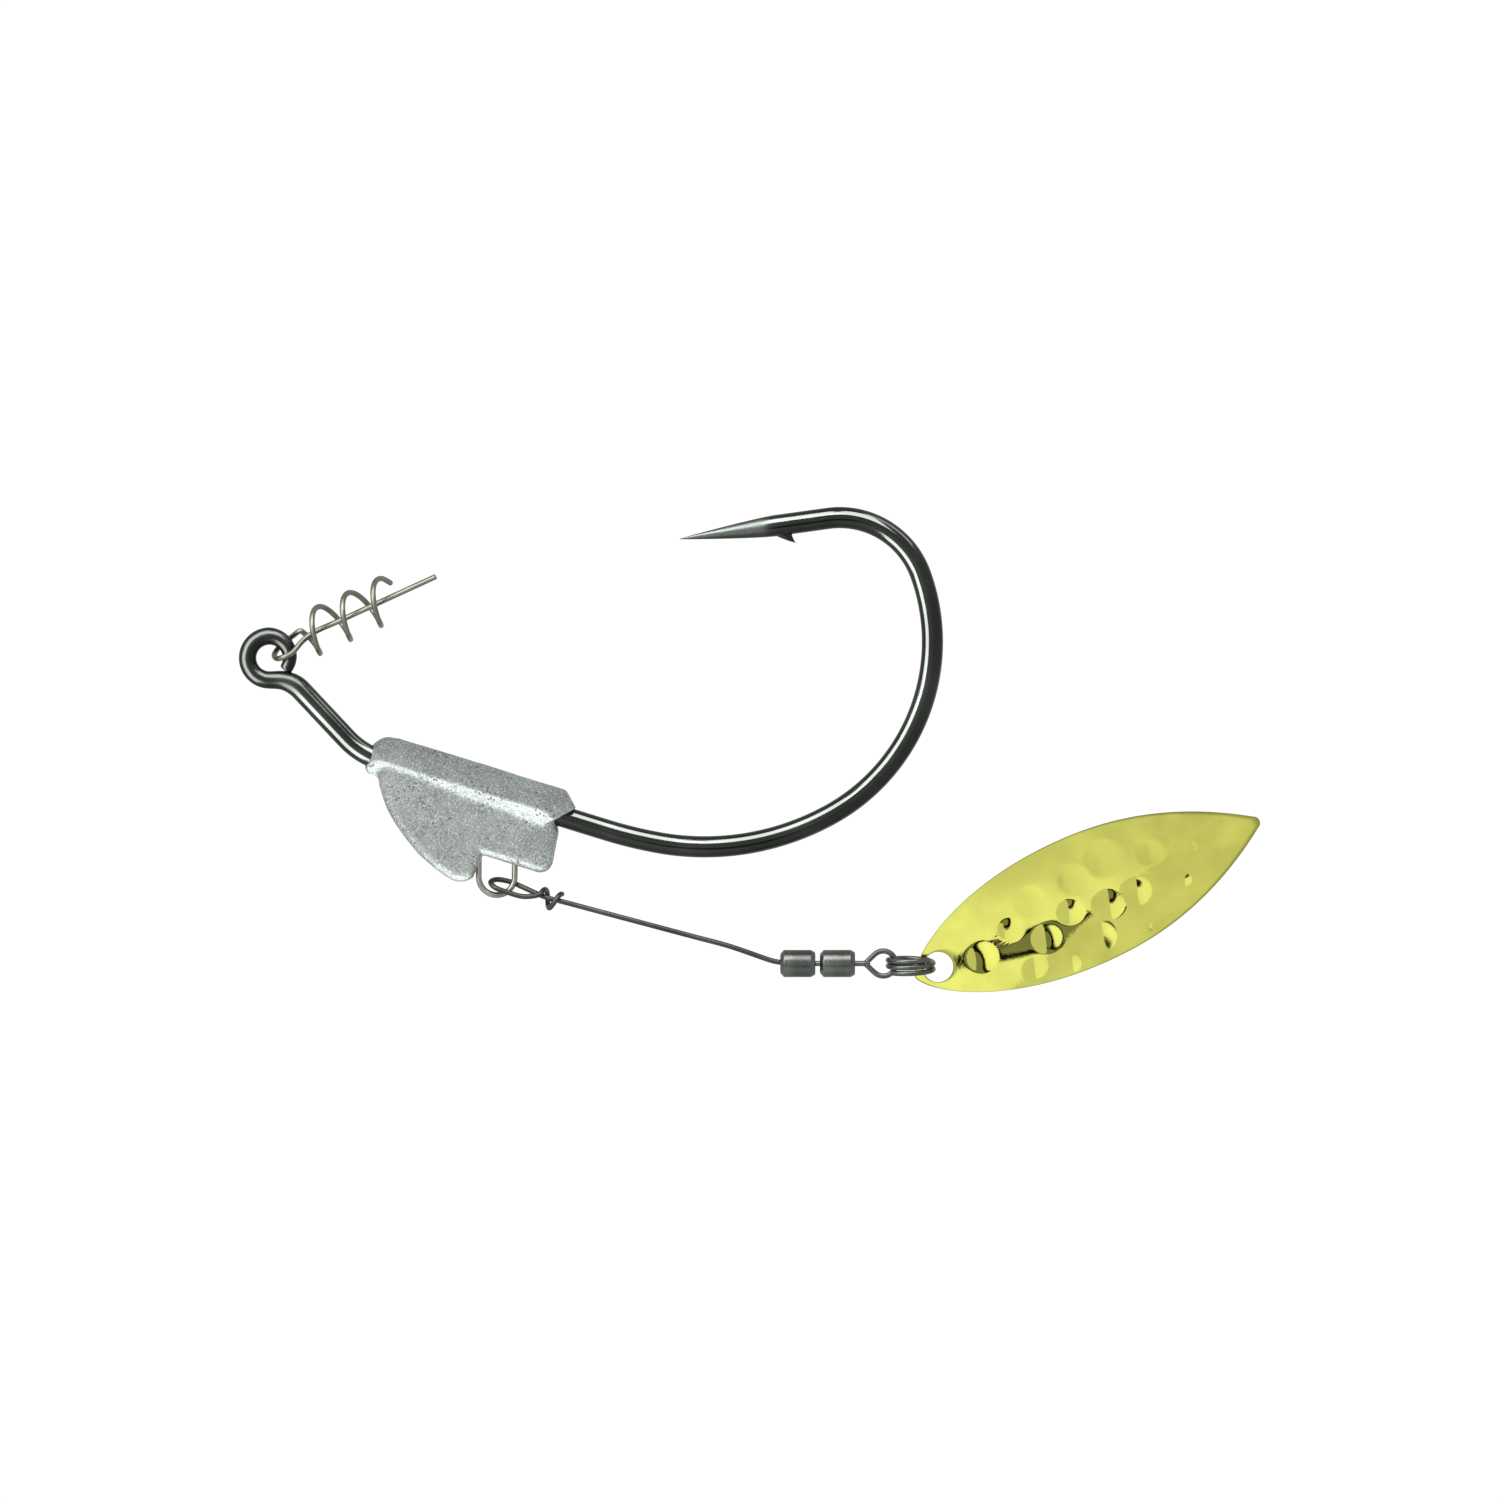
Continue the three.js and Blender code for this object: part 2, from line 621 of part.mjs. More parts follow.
// The eye is a wire bent into a drop from a headed neck.
const eyeStart = BARREL_LENGTH - BARREL_RECESS - BARREL_END_WALL - END_PLAY - PIN_HEAD_LENGTH;
const neckEnd = BARREL_LENGTH + NECK_LENGTH;
const eyeRadius = (SWIVEL_EYE_OUTSIDE - PIN_WIRE) / 2;
const eyeMiddle = neckEnd + SWIVEL_EYE_LENGTH - PIN_WIRE / 2 - eyeRadius;

function swivelEye() {
  const head = turned([
    [0, eyeStart],
    [PIN_HEAD / 2, eyeStart],
    [PIN_HEAD / 2, eyeStart + PIN_HEAD_LENGTH],
    [PIN_WIRE / 2, eyeStart + PIN_HEAD_LENGTH],
    [PIN_WIRE / 2, neckEnd],
    [0, neckEnd],
  ], 12);
  const shoulder = 40;
  const drop = (side) => {
    const points = [new THREE.Vector3(0, neckEnd - 0.1, 0)];
    for (let angle = 180 - shoulder - 12; angle >= -15; angle -= 15) {
      points.push(new THREE.Vector3(
        side * eyeRadius * Math.sin(rad(angle)), eyeMiddle + eyeRadius * Math.cos(rad(angle)), 0,
      ));
    }
    return bentBar(points, () => PIN_WIRE / 2);
  };
  return joined(head, drop(1), drop(-1));
}

// ---------------------------------------------------------------- split ring and blade

// The ring hangs back in the swivel's eye until its outer strand all but touches the wire.
const ringRadius = (RING_OUTSIDE - RING_WIRE) / 2;
const ringPitch = RING_WIRE + RING_STRAND_GAP;
const strandOffset = 0.75 * ringPitch - RING_DROP;
const strandRoom = eyeRadius - (PIN_WIRE + RING_WIRE) / 2 - RING_GAP;
const ringFront = eyeMiddle + Math.sqrt(Math.max(0, strandRoom ** 2 - strandOffset ** 2));
const ringMiddle = ringFront + ringRadius;

// A flat coil of a little over two turns, closed up strand on strand.
function splitRing() {
  const points = [];
  const steps = Math.ceil(20 * RING_TURNS);
  for (let i = 0; i <= steps; i += 1) {
    const turn = RING_TURNS * (i / steps - 0.5);
    const angle = 2 * Math.PI * turn - Math.PI / 2;
    points.push(new THREE.Vector3(
      ringPitch * turn, ringRadius * Math.cos(angle), ringRadius * Math.sin(angle),
    ));
  }
  const coil = bentBar(points, () => RING_WIRE / 2);
  return coil.rotateY(rad(RING_TILT));
}

const bladeHole = ringMiddle + ringRadius - BLADE_HOLE_FRONT + BLADE_HOLE / 2;

// Half the leaf's width at a distance from its hole end: blunt at the hole, and pointed at the
// tip, where the point is rounded off.
function bladeHalfWidth(along) {
  const left = BLADE_LENGTH - along;
  if (left < 0.41 * BLADE_TIP_RADIUS) return Math.sqrt(left * (2 * BLADE_TIP_RADIUS - left));
  const sharpLength = BLADE_LENGTH + 0.7 * BLADE_TIP_RADIUS;
  const toHole = Math.max(0, 1 - along / BLADE_WIDEST);
  const toTip = Math.max(0, (along - BLADE_WIDEST) / (sharpLength - BLADE_WIDEST));
  const blunt = (1 - toHole ** 2.05) ** 0.7;
  const pointed = 1 - toTip ** 2.15;
  return (BLADE_WIDTH / 2) * blunt * pointed;
}

// The leaf is dished both ways. Its middle stands towards the near side and its hole lies level
// with the ring.
function bladeRise(along, across) {
  const wide = across / (BLADE_WIDTH / 2);
  const long = (along - BLADE_WIDEST) / (BLADE_WIDEST - BLADE_HOLE_SETBACK);
  return BLADE_CUP * wide ** 2 + BLADE_BOW * (long ** 2 - 1);
}

function blade() {
  const rows = 30;
  const sheet = new THREE.BoxGeometry(1, 1, 1, 10, rows, 1);
  const { position } = sheet.attributes;
  for (let i = 0; i < position.count; i += 1) {
    const part = (position.getY(i) + 0.5) * Math.PI;
    const along = BLADE_LENGTH * (0.5 - 0.498 * Math.cos(part));
    const across = 2 * position.getX(i) * bladeHalfWidth(along);
    const rise = bladeRise(along, across) + BLADE_THICKNESS * position.getZ(i);
    position.setXYZ(i, across, along - BLADE_HOLE_SETBACK, rise);
  }
  const drill = new THREE.CylinderGeometry(BLADE_HOLE / 2, BLADE_HOLE / 2, 8, 24);
  drill.rotateX(Math.PI / 2);
  return cut(sheet, drill);
}

// ---------------------------------------------------------------- assembly

const swivel = new THREE.Group();
swivel.position.set(swivelAxis, frontBarrelStart, 0);
swivel.add(
  piece('front_barrel', barrel(ARM_WIRE / 2 + RUNNING_GAP), FINISH.gunmetal),
  piece('centre_pin', headedPin(), FINISH.gunmetal),
);

const tail = new THREE.Group();
tail.position.set(swivelAxis, rearBarrelStart, 0);
const ringMesh = piece('split_ring', splitRing(), FINISH.gunmetal);
ringMesh.position.set(-RING_DROP, ringMiddle, 0);
const bladeMesh = piece('blade', blade(), FINISH.gold);
bladeMesh.position.set(-BLADE_DROP, bladeHole, 0);
bladeMesh.rotation.z = -rad(BLADE_ANGLE);
tail.add(
  piece('rear_barrel', barrel(PIN_WIRE / 2 + RUNNING_GAP), FINISH.gunmetal),
  piece('swivel_eye', swivelEye(), FINISH.gunmetal),
  ringMesh,
  bladeMesh,
);

const lure = new THREE.Group();
lure.rotation.x = -Math.PI / 2;
lure.add(
  piece('hook', hook, FINISH.blackNickel),
  piece('belly_weight', bellyWeight(), FINISH.lead),
  piece('weight_loop', weightLoop, FINISH.stainless),
  piece('bait_keeper', keeper, FINISH.stainless),
  piece('spinner_arm', spinnerArm(), FINISH.gunmetal),
  swivel,
  tail,
);

export default lure;
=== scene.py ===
"""Looks of a weighted swimbait hook with a bait keeper and a trailing spinner blade.

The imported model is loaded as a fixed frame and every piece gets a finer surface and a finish. The
lure hangs from its eye: the origin is the centre of the eye, +Z goes up the line and +X points to
the side of the hook point. Shapes are worked out in the lure's side view as (up, along, across),
in metres, where "along" runs from the eye down to the blade.
"""
from math import cos, pi, radians, sin, sqrt, tan

import bpy
import numpy as np
from bpy.props import FloatProperty, FloatVectorProperty, PointerProperty
from mathutils import Matrix


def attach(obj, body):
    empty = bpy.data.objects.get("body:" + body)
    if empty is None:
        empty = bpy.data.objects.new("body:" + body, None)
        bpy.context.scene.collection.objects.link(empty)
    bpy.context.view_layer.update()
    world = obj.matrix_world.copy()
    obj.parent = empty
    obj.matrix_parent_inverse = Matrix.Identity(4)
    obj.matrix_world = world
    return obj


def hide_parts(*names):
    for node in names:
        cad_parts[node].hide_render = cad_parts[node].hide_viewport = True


bl_info = {
    "name": "Weighted hook with spinner blade",
    "version": (1, 0, 0),
    "blender": (4, 5, 0),
    "location": "View3D > Sidebar > Lure",
    "description": "Builds a weighted swimbait hook, its bait keeper and its spinner blade",
    "category": "Add Mesh",
}

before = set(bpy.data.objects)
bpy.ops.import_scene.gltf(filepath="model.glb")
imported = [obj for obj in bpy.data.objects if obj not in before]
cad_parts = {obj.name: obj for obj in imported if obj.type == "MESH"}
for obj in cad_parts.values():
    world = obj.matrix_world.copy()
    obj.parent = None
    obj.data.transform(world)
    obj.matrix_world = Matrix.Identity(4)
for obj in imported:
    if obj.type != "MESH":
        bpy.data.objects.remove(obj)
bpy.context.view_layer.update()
MM = 0.001


# ---------------------------------------------------------------- sizes and colours

def length(name, description, millimetres):
    """A size shown in the scene's length unit, given here in millimetres."""
    return FloatProperty(name=name, description=description, default=millimetres * MM,
                         min=0.0, precision=5, subtype="DISTANCE", unit="LENGTH")


def angle(name, description, degrees):
    """An angle, given here in degrees."""
    return FloatProperty(name=name, description=description, default=radians(degrees),
                         subtype="ANGLE", unit="ROTATION")


def share(name, description, value, top=1.0):
    """A plain number such as a roughness, a strength or a count of turns."""
    return FloatProperty(name=name, description=description, default=value, min=0.0, max=top,
                         subtype="FACTOR")


def colour(name, description, rgb):
    """A linear colour."""
    return FloatVectorProperty(name=name, description=description, default=rgb, size=3,
                               min=0.0, max=1.0, subtype="COLOR")


class LureHook(bpy.types.PropertyGroup):
    """Sizes and finish of the hook."""
    wire: length("Wire", "Thickness of the hook wire", 2.1)
    eye_wire: length("Eye wire", "Thickness of the wire round the eye", 1.7)
    tag_wire: length("Tag wire", "Thickness of the wire's cut end at the eye", 1.2)
    eye_hole: length("Eye hole", "Width of the hole in the eye", 2.8)
    shank: length("Shank", "Straight length of the shank", 24.1)
    leg: length("Leg", "Straight length between the eye's throat and the knee", 6.8)
    spear: length("Spear", "Straight length from the bend to the point", 15.3)
    point: length("Point", "Length of the ground point", 9.8)
    barb_setback: length("Barb setback", "From the point back to the barb's tip", 11.7)
    barb_rise: length("Barb rise", "Height of the barb above the wire", 1.0)
    plate: colour("Plate", "Colour of the black nickel plate", (0.037, 0.0405, 0.037))
    ground: colour("Ground steel", "Colour of the ground point", (0.042, 0.046, 0.042))
    roughness: share("Roughness", "Roughness of the plate", 0.13)


class LureWeight(bpy.types.PropertyGroup):
    """Sizes and finish of the cast belly weight and its loop."""
    body_length: length("Length", "Length of the body along the shank", 22.05)
    body_top: length("Top", "Height of the body above the shank's centre line", 2.7)
    front_width: length("Front width", "Width of the body at its nose", 3.3)
    rear_width: length("Rear width", "Width of the body at its tail", 6.4)
    keel_thickness: length("Keel thickness", "Thickness of the flat keel", 2.8)
    keel_depth: length("Keel depth", "Depth of the keel's lowest corner below the shank", 9.6)
    heel_depth: length("Heel depth", "Depth of the heel behind the notch", 6.2)
    keel_bevel: length("Keel bevel", "Width of the bevel round the keel", 0.65)
    fillet: length("Fillet", "Radius where the keel meets the body", 0.16)
    grain: length("Grain", "Size of the cells that the casting is worked out on", 0.125)
    waviness: length("Waviness", "Height of the casting's lumps", 0.065)
    loop_wire: length("Loop wire", "Thickness of the weight loop's wire", 0.62)
    loop_width: length("Loop width", "Outside width of the weight loop", 4.3)
    loop_steel: colour("Loop steel", "Colour of the weight loop's wire", (0.29, 0.285, 0.25))
    loop_roughness: share("Loop roughness", "Roughness of the weight loop's wire", 0.15)
    lead: colour("Lead", "Colour of the bare lead", (0.44, 0.475, 0.458))
    pits: colour("Pits", "Colour of the pits in the lead", (0.13, 0.145, 0.14))
    roughness: share("Roughness", "Roughness of the lead", 0.46)


class LureKeeper(bpy.types.PropertyGroup):
    """Sizes and finish of the screw-in bait keeper."""
    wire: length("Wire", "Thickness of the keeper's wire", 0.57)
    pin: length("Pin", "Length of the centring pin", 14.9)
    coil_width: length("Coil width", "Outside width of the screw coil", 5.0)
    pitch: length("Pitch", "Advance of the coil in one turn", 3.57)
    turns: share("Turns", "Turns of the screw coil", 2.65, 6.0)
    slope: angle("Slope", "Rise of the pin from the lure's long axis", 24.4)
    lean: angle("Lean", "Lean of the pin's tip to the near side", 15.0)
    steel: colour("Steel", "Colour of the stainless wire", (0.2, 0.197, 0.16))
    roughness: share("Roughness", "Roughness of the wire", 0.27)


class LureArm(bpy.types.PropertyGroup):
    """Sizes and finish of the spinner arm."""
    wire: length("Wire", "Thickness of the arm's wire", 0.54)
    reach: length("Reach", "From the wrap to the bend at the swivel", 24.7)
    slope: angle("Slope", "Slope of the arm below the lure's long axis", 15.5)
    droop: length("Droop", "How far the arm's end hangs below its straight line", 0.28)
    bow: length("Bow", "How far the arm stands above the line just before its end", 0.2)
    loop_tilt: angle("Loop tilt", "Lean of the loop across the lure", 55.0)
    wrap: length("Wrap", "Radius of the tag end's turn round the arm", 0.86)
    steel: colour("Steel", "Colour of the spring wire", (0.065, 0.066, 0.06))
    roughness: share("Roughness", "Roughness of the wire", 0.3)


class LureSwivel(bpy.types.PropertyGroup):
    """Sizes and finish of the swivel and the split ring."""
    barrel_width: length("Barrel width", "Diameter of each barrel", 2.8)
    barrel_length: length("Barrel length", "Length of each barrel", 3.6)
    barrel_gap: length("Barrel gap", "Gap between the barrels", 0.47)
    wire: length("Wire", "Thickness of the pin, the eye and the ring", 0.56)
    neck: length("Neck", "Neck between the rear barrel and the eye", 1.35)
    eye_width: length("Eye width", "Outside width of the eye", 3.12)
    eye_length: length("Eye length", "Length of the eye", 3.1)
    ring_width: length("Ring width", "Outside diameter of the split ring", 5.15)
    ring_turns: share("Ring turns", "Turns of the split ring", 2.28, 4.0)
    ring_tilt: angle("Ring tilt", "Turn of the ring about the swivel's axis", 7.0)
    plate: colour("Plate", "Colour of the satin black nickel", (0.108, 0.117, 0.106))
    roughness: share("Roughness", "Roughness of the plate", 0.27)


class LureBlade(bpy.types.PropertyGroup):
    """Sizes and finish of the hammered blade."""
    length: length("Length", "Length of the leaf", 38.8)
    width: length("Width", "Greatest width of the leaf", 13.4)
    thickness: length("Thickness", "Thickness of the sheet", 0.5)
    tip_radius: length("Tip radius", "Radius of the rounded tip", 0.7)
    hole: length("Hole", "Diameter of the hole", 3.1)
    hole_setback: length("Hole setback", "From the end of the leaf to the hole's centre", 2.6)
    widest: length("Widest", "From the hole end to the widest place", 18.8)
    cup: length("Cup", "Rise of the edges over the middle line", 1.5)
    bow: length("Bow", "Rise of the hole over the middle", 1.2)
    twist: length("Twist", "Rise at 1 mm off the middle line for each millimetre along", 0.009)
    slope: angle("Slope", "Rise of the leaf from the lure's long axis", 24.5)
    hammering: length("Hammering", "Depth of the deepest hammer mark", 0.17)
    gold: colour("Gold", "Colour of the lemon gold plate", (0.765, 0.773, 0.16))
    # Painted shade: a dark colour along the leaf's edge and round its hole, standing in for the
    # dark rim it shows
    edge_shade: colour("Edge shade", "Colour of the plate along its edges", (0.26, 0.26, 0.05))
    roughness: share("Roughness", "Roughness of the plate", 0.04)


class LureStage(bpy.types.PropertyGroup):
    """The camera, the floor and the light."""
    camera_distance: length("Camera distance", "From the lure to the camera", 1600.0)
    view_width: length("View width", "Width of the view at the lure", 153.6)
    floor_drop: length("Floor drop", "Depth of the floor below the eye", 180.0)
    floor_radius: length("Floor radius", "Radius of the round floor", 900.0)
    floor: colour("Floor", "Colour of the floor", (0.93, 0.93, 0.93))
    tent: share("Tent", "Brightness of the white tent in the metal", 0.95, 4.0)
    fill: share("Fill", "Extra brightness of the tent below and to the left", 0.2, 4.0)
    shade: share("Shade", "What is left of the tent's brightness on the right", 0.35)
    box: share("Soft box", "Brightness of the soft boxes for the hook", 24.0, 90.0)
    satin: share("Satin light", "Brightness of the soft boxes for the wires and swivel", 4.5, 60.0)
    lead_light: share("Lead light", "Brightness of the soft boxes for the lead", 3.5, 60.0)


SETTINGS = {"hook": LureHook, "weight": LureWeight, "keeper": LureKeeper, "arm": LureArm,
            "swivel": LureSwivel, "blade": LureBlade, "stage": LureStage}


def settings(context, name):
    """The property group of one piece, kept on the scene."""
    return getattr(context.scene, "lure_" + name)


# ---------------------------------------------------------------- shapes

STRAIGHT_POINTS = 9         # along each straight stretch of a line
ARC_STEP = radians(1.5)     # turn from one point of an arc to the next
KNOT_STEPS = 10             # points of a smooth line from one knot to the next
CORNER_STEPS = 5            # points round a rounded corner of a profile
WIRE_STEP = 0.13 * MM       # from one ring of a thin wire to the next
WIRE_SIDES = 22             # points round a thin wire


def heading(turn):
    """Unit step (up, along) for an angle turned up from the lure's long axis: (sin, cos)."""
    return np.stack([np.sin(turn), np.cos(turn)], -1)


def sloped(base, slope, along, up):
    """Side-view places measured from a base: along a sloping line, and square to it."""
    return (base + np.asarray(along)[..., None] * heading(slope)
            + np.asarray(up)[..., None] * heading(slope + pi / 2))


def bent_line(start, turn, stretches):
    """Points of straights and arcs in the side view, and the last heading. A stretch is
    (length, 0) or (radius, angle). Along an arc the place is the start plus radius times the
    change of (-cos, sin) of the heading."""
    place = np.array(start, float)
    points = [place[None]]
    for size, bend in stretches:
        if bend == 0:
            run = place + heading(turn) * size * np.linspace(0, 1, STRAIGHT_POINTS)[1:, None]
        else:
            headings = turn + bend * np.linspace(0, 1, 2 + int(abs(bend) / ARC_STEP))[1:]
            swing = np.stack([cos(turn) - np.cos(headings), np.sin(headings) - sin(turn)], -1)
            run = place + size * np.sign(bend) * swing
            turn += bend
        points.append(run)
        place = run[-1]
    return np.concatenate(points), turn


def flat(points, across=0.0):
    """Side-view points given a place across the lure."""
    return np.column_stack([points, np.full(len(points), across)])


def smooth_line(knots):
    """A smooth line through knots: cubic pieces whose slopes come from the neighbouring knots,
    weighted by the square root of their distances."""
    knots = np.asarray(knots, float)
    ends = np.vstack([2 * knots[0] - knots[1], knots, 2 * knots[-1] - knots[-2]])
    gap = np.sqrt(np.linalg.norm(np.diff(ends, axis=0), axis=1))[:, None]
    a, b, c, d = ends[:-3], ends[1:-2], ends[2:-1], ends[3:]
    before, here, after = gap[:-2], gap[1:-1], gap[2:]
    out = ((b - a) / before - (c - a) / (before + here) + (c - b) / here) * here
    into = ((c - b) / here - (d - b) / (here + after) + (d - c) / after) * here
    t = np.linspace(0, 1, KNOT_STEPS, endpoint=False)[:, None, None]
    run = ((2 * t**3 - 3 * t**2 + 1) * b + (t**3 - 2 * t**2 + t) * out
           + (3 * t**2 - 2 * t**3) * c + (t**3 - t**2) * into)
    return np.vstack([run.transpose(1, 0, 2).reshape(-1, 3), knots[-1:]])


def stations(points, spacing, ends=(0.0, 0.0)):
    """Even stations along a line, with a few more where an end is rounded over. Returns the
    points and their distances from the start."""
    reach = np.concatenate([[0], np.cumsum(np.linalg.norm(np.diff(points, axis=0), axis=1))])
    whole = reach[-1]
    near = 1 - np.cos(np.linspace(0, pi / 2, 6))
    at = np.concatenate([near * ends[0], whole - near * ends[1],
                         np.linspace(ends[0], whole - ends[1], 2 + int(whole / spacing))])
    at = np.unique(np.round(at, 9))
    return np.stack([np.interp(at, reach, points[:, i]) for i in range(3)], -1), at


def wire_grid(points, radii, sides):
    """Rings of a round wire. Each ring is square to the line, and its first spoke is the one
    before made square to the line again, so the wire doesn't twist."""
    tangents = np.gradient(points, axis=0)
    tangents /= np.linalg.norm(tangents, axis=1)[:, None]
    spoke = np.cross(tangents[0], (0.0, 0.0, 1.0))
    if np.linalg.norm(spoke) < 0.1:
        spoke = np.cross(tangents[0], (1.0, 0.0, 0.0))
    spokes = np.empty_like(points)
    for i, tangent in enumerate(tangents):
        spoke = spoke - tangent * (spoke @ tangent)
        spoke = spoke / np.linalg.norm(spoke)
        spokes[i] = spoke
    others = np.cross(tangents, spokes)
    around = np.linspace(0, 2 * pi, sides, endpoint=False)[None, :, None]
    ring = spokes[:, None] * np.cos(around) + others[:, None] * np.sin(around)
    return points[:, None] + np.asarray(radii)[:, None, None] * ring


def turned_grid(profile, centre, sides=72):
    """A profile of (radius, along) turned round a line along the lure: the ring's points are
    radius times (cos, sin) in up and across."""
    radius, along = np.asarray(profile, float).T
    around = np.linspace(0, 2 * pi, sides, endpoint=False)
    up = radius[:, None] * np.cos(around) + centre[0]
    across = radius[:, None] * np.sin(around)
    return np.stack([up, np.repeat(along[:, None] + centre[1], sides, 1), across], -1)


def rounded(profile, radius):
    """A profile with its inner corners rounded: each corner becomes an arc-like curve between
    the two places a radius away from it (a quadratic through the corner's handle)."""
    points = np.asarray(profile, float)
    before, corner, after = points[:-2], points[1:-1], points[2:]
    to, fro = before - corner, after - corner
    long_to = np.linalg.norm(to, axis=1)[:, None]
    long_fro = np.linalg.norm(fro, axis=1)[:, None]
    start = corner + to / long_to * np.minimum(radius, long_to * 0.45)
    end = corner + fro / long_fro * np.minimum(radius, long_fro * 0.45)
    t = np.linspace(0, 1, CORNER_STEPS)[:, None, None]
    curve = (1 - t) ** 2 * start + 2 * t * (1 - t) * corner + t**2 * end
    return np.vstack([points[:1], curve.transpose(1, 0, 2).reshape(-1, 2), points[-1:]])


def closed_faces(rows, sides, loop=False):
    """Quads between neighbouring rings, and from the last ring to the first if they loop."""
    upper = np.arange(rows if loop else rows - 1)[:, None]
    lower = (upper + 1) % rows
    side = np.arange(sides)[None]
    after = (side + 1) % sides
    corners = [upper * sides + side, lower * sides + side, lower * sides + after,
               upper * sides + after]
    return np.stack(corners, -1).reshape(-1, 4)


def shell(grid, loop=False):
    """Vertices and faces of a closed skin over rings. Unless the rings loop, each end is shut
    by a fan to a middle vertex."""
    rows, sides = grid.shape[:2]
    faces = closed_faces(rows, sides, loop).tolist()
    vertices = grid.reshape(-1, 3)
    if not loop:
        side = np.arange(sides)
        after = (side + 1) % sides
        last = (rows - 1) * sides
        start, end = rows * sides, rows * sides + 1
        faces += np.stack([after, np.full(sides, start), side], -1).tolist()
        faces += np.stack([last + side, np.full(sides, end), last + after], -1).tolist()
        vertices = np.vstack([vertices, grid[0].mean(0), grid[-1].mean(0)])
    return vertices, faces


def volume(vertices, faces):
    """Signed volume of a closed skin: a sixth of the triple products of its fan triangles."""
    total = 0.0
    for size in (3, 4):
        some = np.array([f for f in faces if len(f) == size], int)
        if len(some) == 0:
            continue
        a = vertices[some[:, 0]]
        for k in range(1, size - 1):
            b, c = vertices[some[:, k]], vertices[some[:, k + 1]]
            total += float(np.einsum("ij,ij->", a, np.cross(b, c))) / 6
    return total


def add_piece(name, shells, material, body, node, uv=None, sharp=None):
    """One object from closed skins given as (up, along, across). It is turned into the frame,
    made to face outwards, shaded smooth, and put on its CAD body in place of its CAD node."""
    name += "_surface"
    vertices, faces = [], []
    first = 0
    for points, quads in shells:
        world = np.stack([points[:, 0], points[:, 2], -points[:, 1]], -1)
        if volume(world, quads) < 0:
            quads = [q[::-1] for q in quads]
        faces += [[first + i for i in q] for q in quads]
        vertices.append(world)
        first += len(points)
    mesh = bpy.data.meshes.new(name)
    mesh.from_pydata(np.vstack(vertices), [], faces)
    if mesh.validate(verbose=False):
        raise RuntimeError(f"{name}: the surface had faces that can't be kept")
    mesh.polygons.foreach_set("use_smooth", np.ones(len(mesh.polygons), bool))
    if uv is not None:
        layer = mesh.uv_layers.new(name="along_wire")
        corners = np.empty(len(mesh.loops), np.int32)
        mesh.loops.foreach_get("vertex_index", corners)
        layer.data.foreach_set("uv", uv[corners].astype(np.float32).ravel())
    if sharp is not None:
        mesh.set_sharp_from_angle(angle=sharp)
    mesh.materials.append(material)
    piece = bpy.data.objects.new(name, mesh)
    bpy.context.scene.collection.objects.link(piece)
    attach(piece, body)
    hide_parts(node)


def wire_shell(points, radius, spacing=WIRE_STEP, sides=WIRE_SIDES, ends=(0.0, 0.0)):
    """A closed wire and its (around, along) coordinates. The radius may be a number or a
    function of the distance from the start, and each end's edge is rounded over a little."""
    line, at = stations(points, spacing, ends)
    whole = at[-1]
    radii = radius(at, whole) if callable(radius) else np.full(len(at), radius)
    for size, distance in ((ends[0], at), (ends[1], whole - at)):
        if size > 0:
            left = np.clip(1 - distance / size, 0, 1)
            radii = radii - size * (1 - np.sqrt(1 - left**2))
    vertices, faces = shell(wire_grid(line, np.maximum(radii, 2e-6), sides))
    around = np.tile(np.linspace(0, 1, sides, endpoint=False), len(at))
    along = np.repeat(at, sides)
    uv = np.column_stack([np.append(around, [0, 0]), np.append(along, [at[0], at[-1]])])
    return vertices, faces, uv


# ---------------------------------------------------------------- finishes

def node_tree(owner):
    """The emptied node tree of a material or a world."""
    owner.use_nodes = True
    owner.node_tree.nodes.clear()
    return owner.node_tree


def add(tree, kind, values=None, **options):
    """One node with its options, and its inputs either set or linked."""
    node = tree.nodes.new(kind)
    for key, value in options.items():
        setattr(node, key, value)
    for key, value in (values or {}).items():
        if isinstance(value, bpy.types.NodeSocket):
            tree.links.new(value, node.inputs[key])
        else:
            node.inputs[key].default_value = value
    return node


def maths(tree, operation, *values):
    """The result of a Math node."""
    return add(tree, "ShaderNodeMath", dict(enumerate(values)), operation=operation).outputs[0]


def times(tree, a, b):
    """The product of two values."""
    return maths(tree, "MULTIPLY", a, b)


def plus(tree, a, b):
    """The sum of two values."""
    return maths(tree, "ADD", a, b)


def ramp(tree, value, low, high, to_low=0.0, to_high=1.0):
    """A value carried from one range to another by a smooth step, and held beyond its ends."""
    spread = {0: value, 1: low, 2: high, 3: to_low, 4: to_high}
    return add(tree, "ShaderNodeMapRange", spread, interpolation_type="SMOOTHSTEP").outputs[0]


def blend(tree, factor, a, b):
    """A mix of two colours."""
    mixed = add(tree, "ShaderNodeMix", {0: factor, 6: a, 7: b}, data_type="RGBA")
    return mixed.outputs[2]


def effect(name, inputs, outputs):
    """A new shader node group with named float inputs and outputs, and its two end nodes."""
    group = bpy.data.node_groups.new(name, "ShaderNodeTree")
    for way, labels in (("INPUT", inputs), ("OUTPUT", outputs)):
        for label in labels:
            group.interface.new_socket(label, in_out=way, socket_type="NodeSocketFloat")
    return group, group.nodes.new("NodeGroupInput"), group.nodes.new("NodeGroupOutput")


def noise(tree, place, scale, detail=2.0, roughness=0.5):
    """A smooth noise that varies about `scale` times over each unit of its place."""
    return add(tree, "ShaderNodeTexNoise", {"Vector": place, "Scale": scale, "Detail": detail,
                                            "Roughness": roughness}).outputs[0]


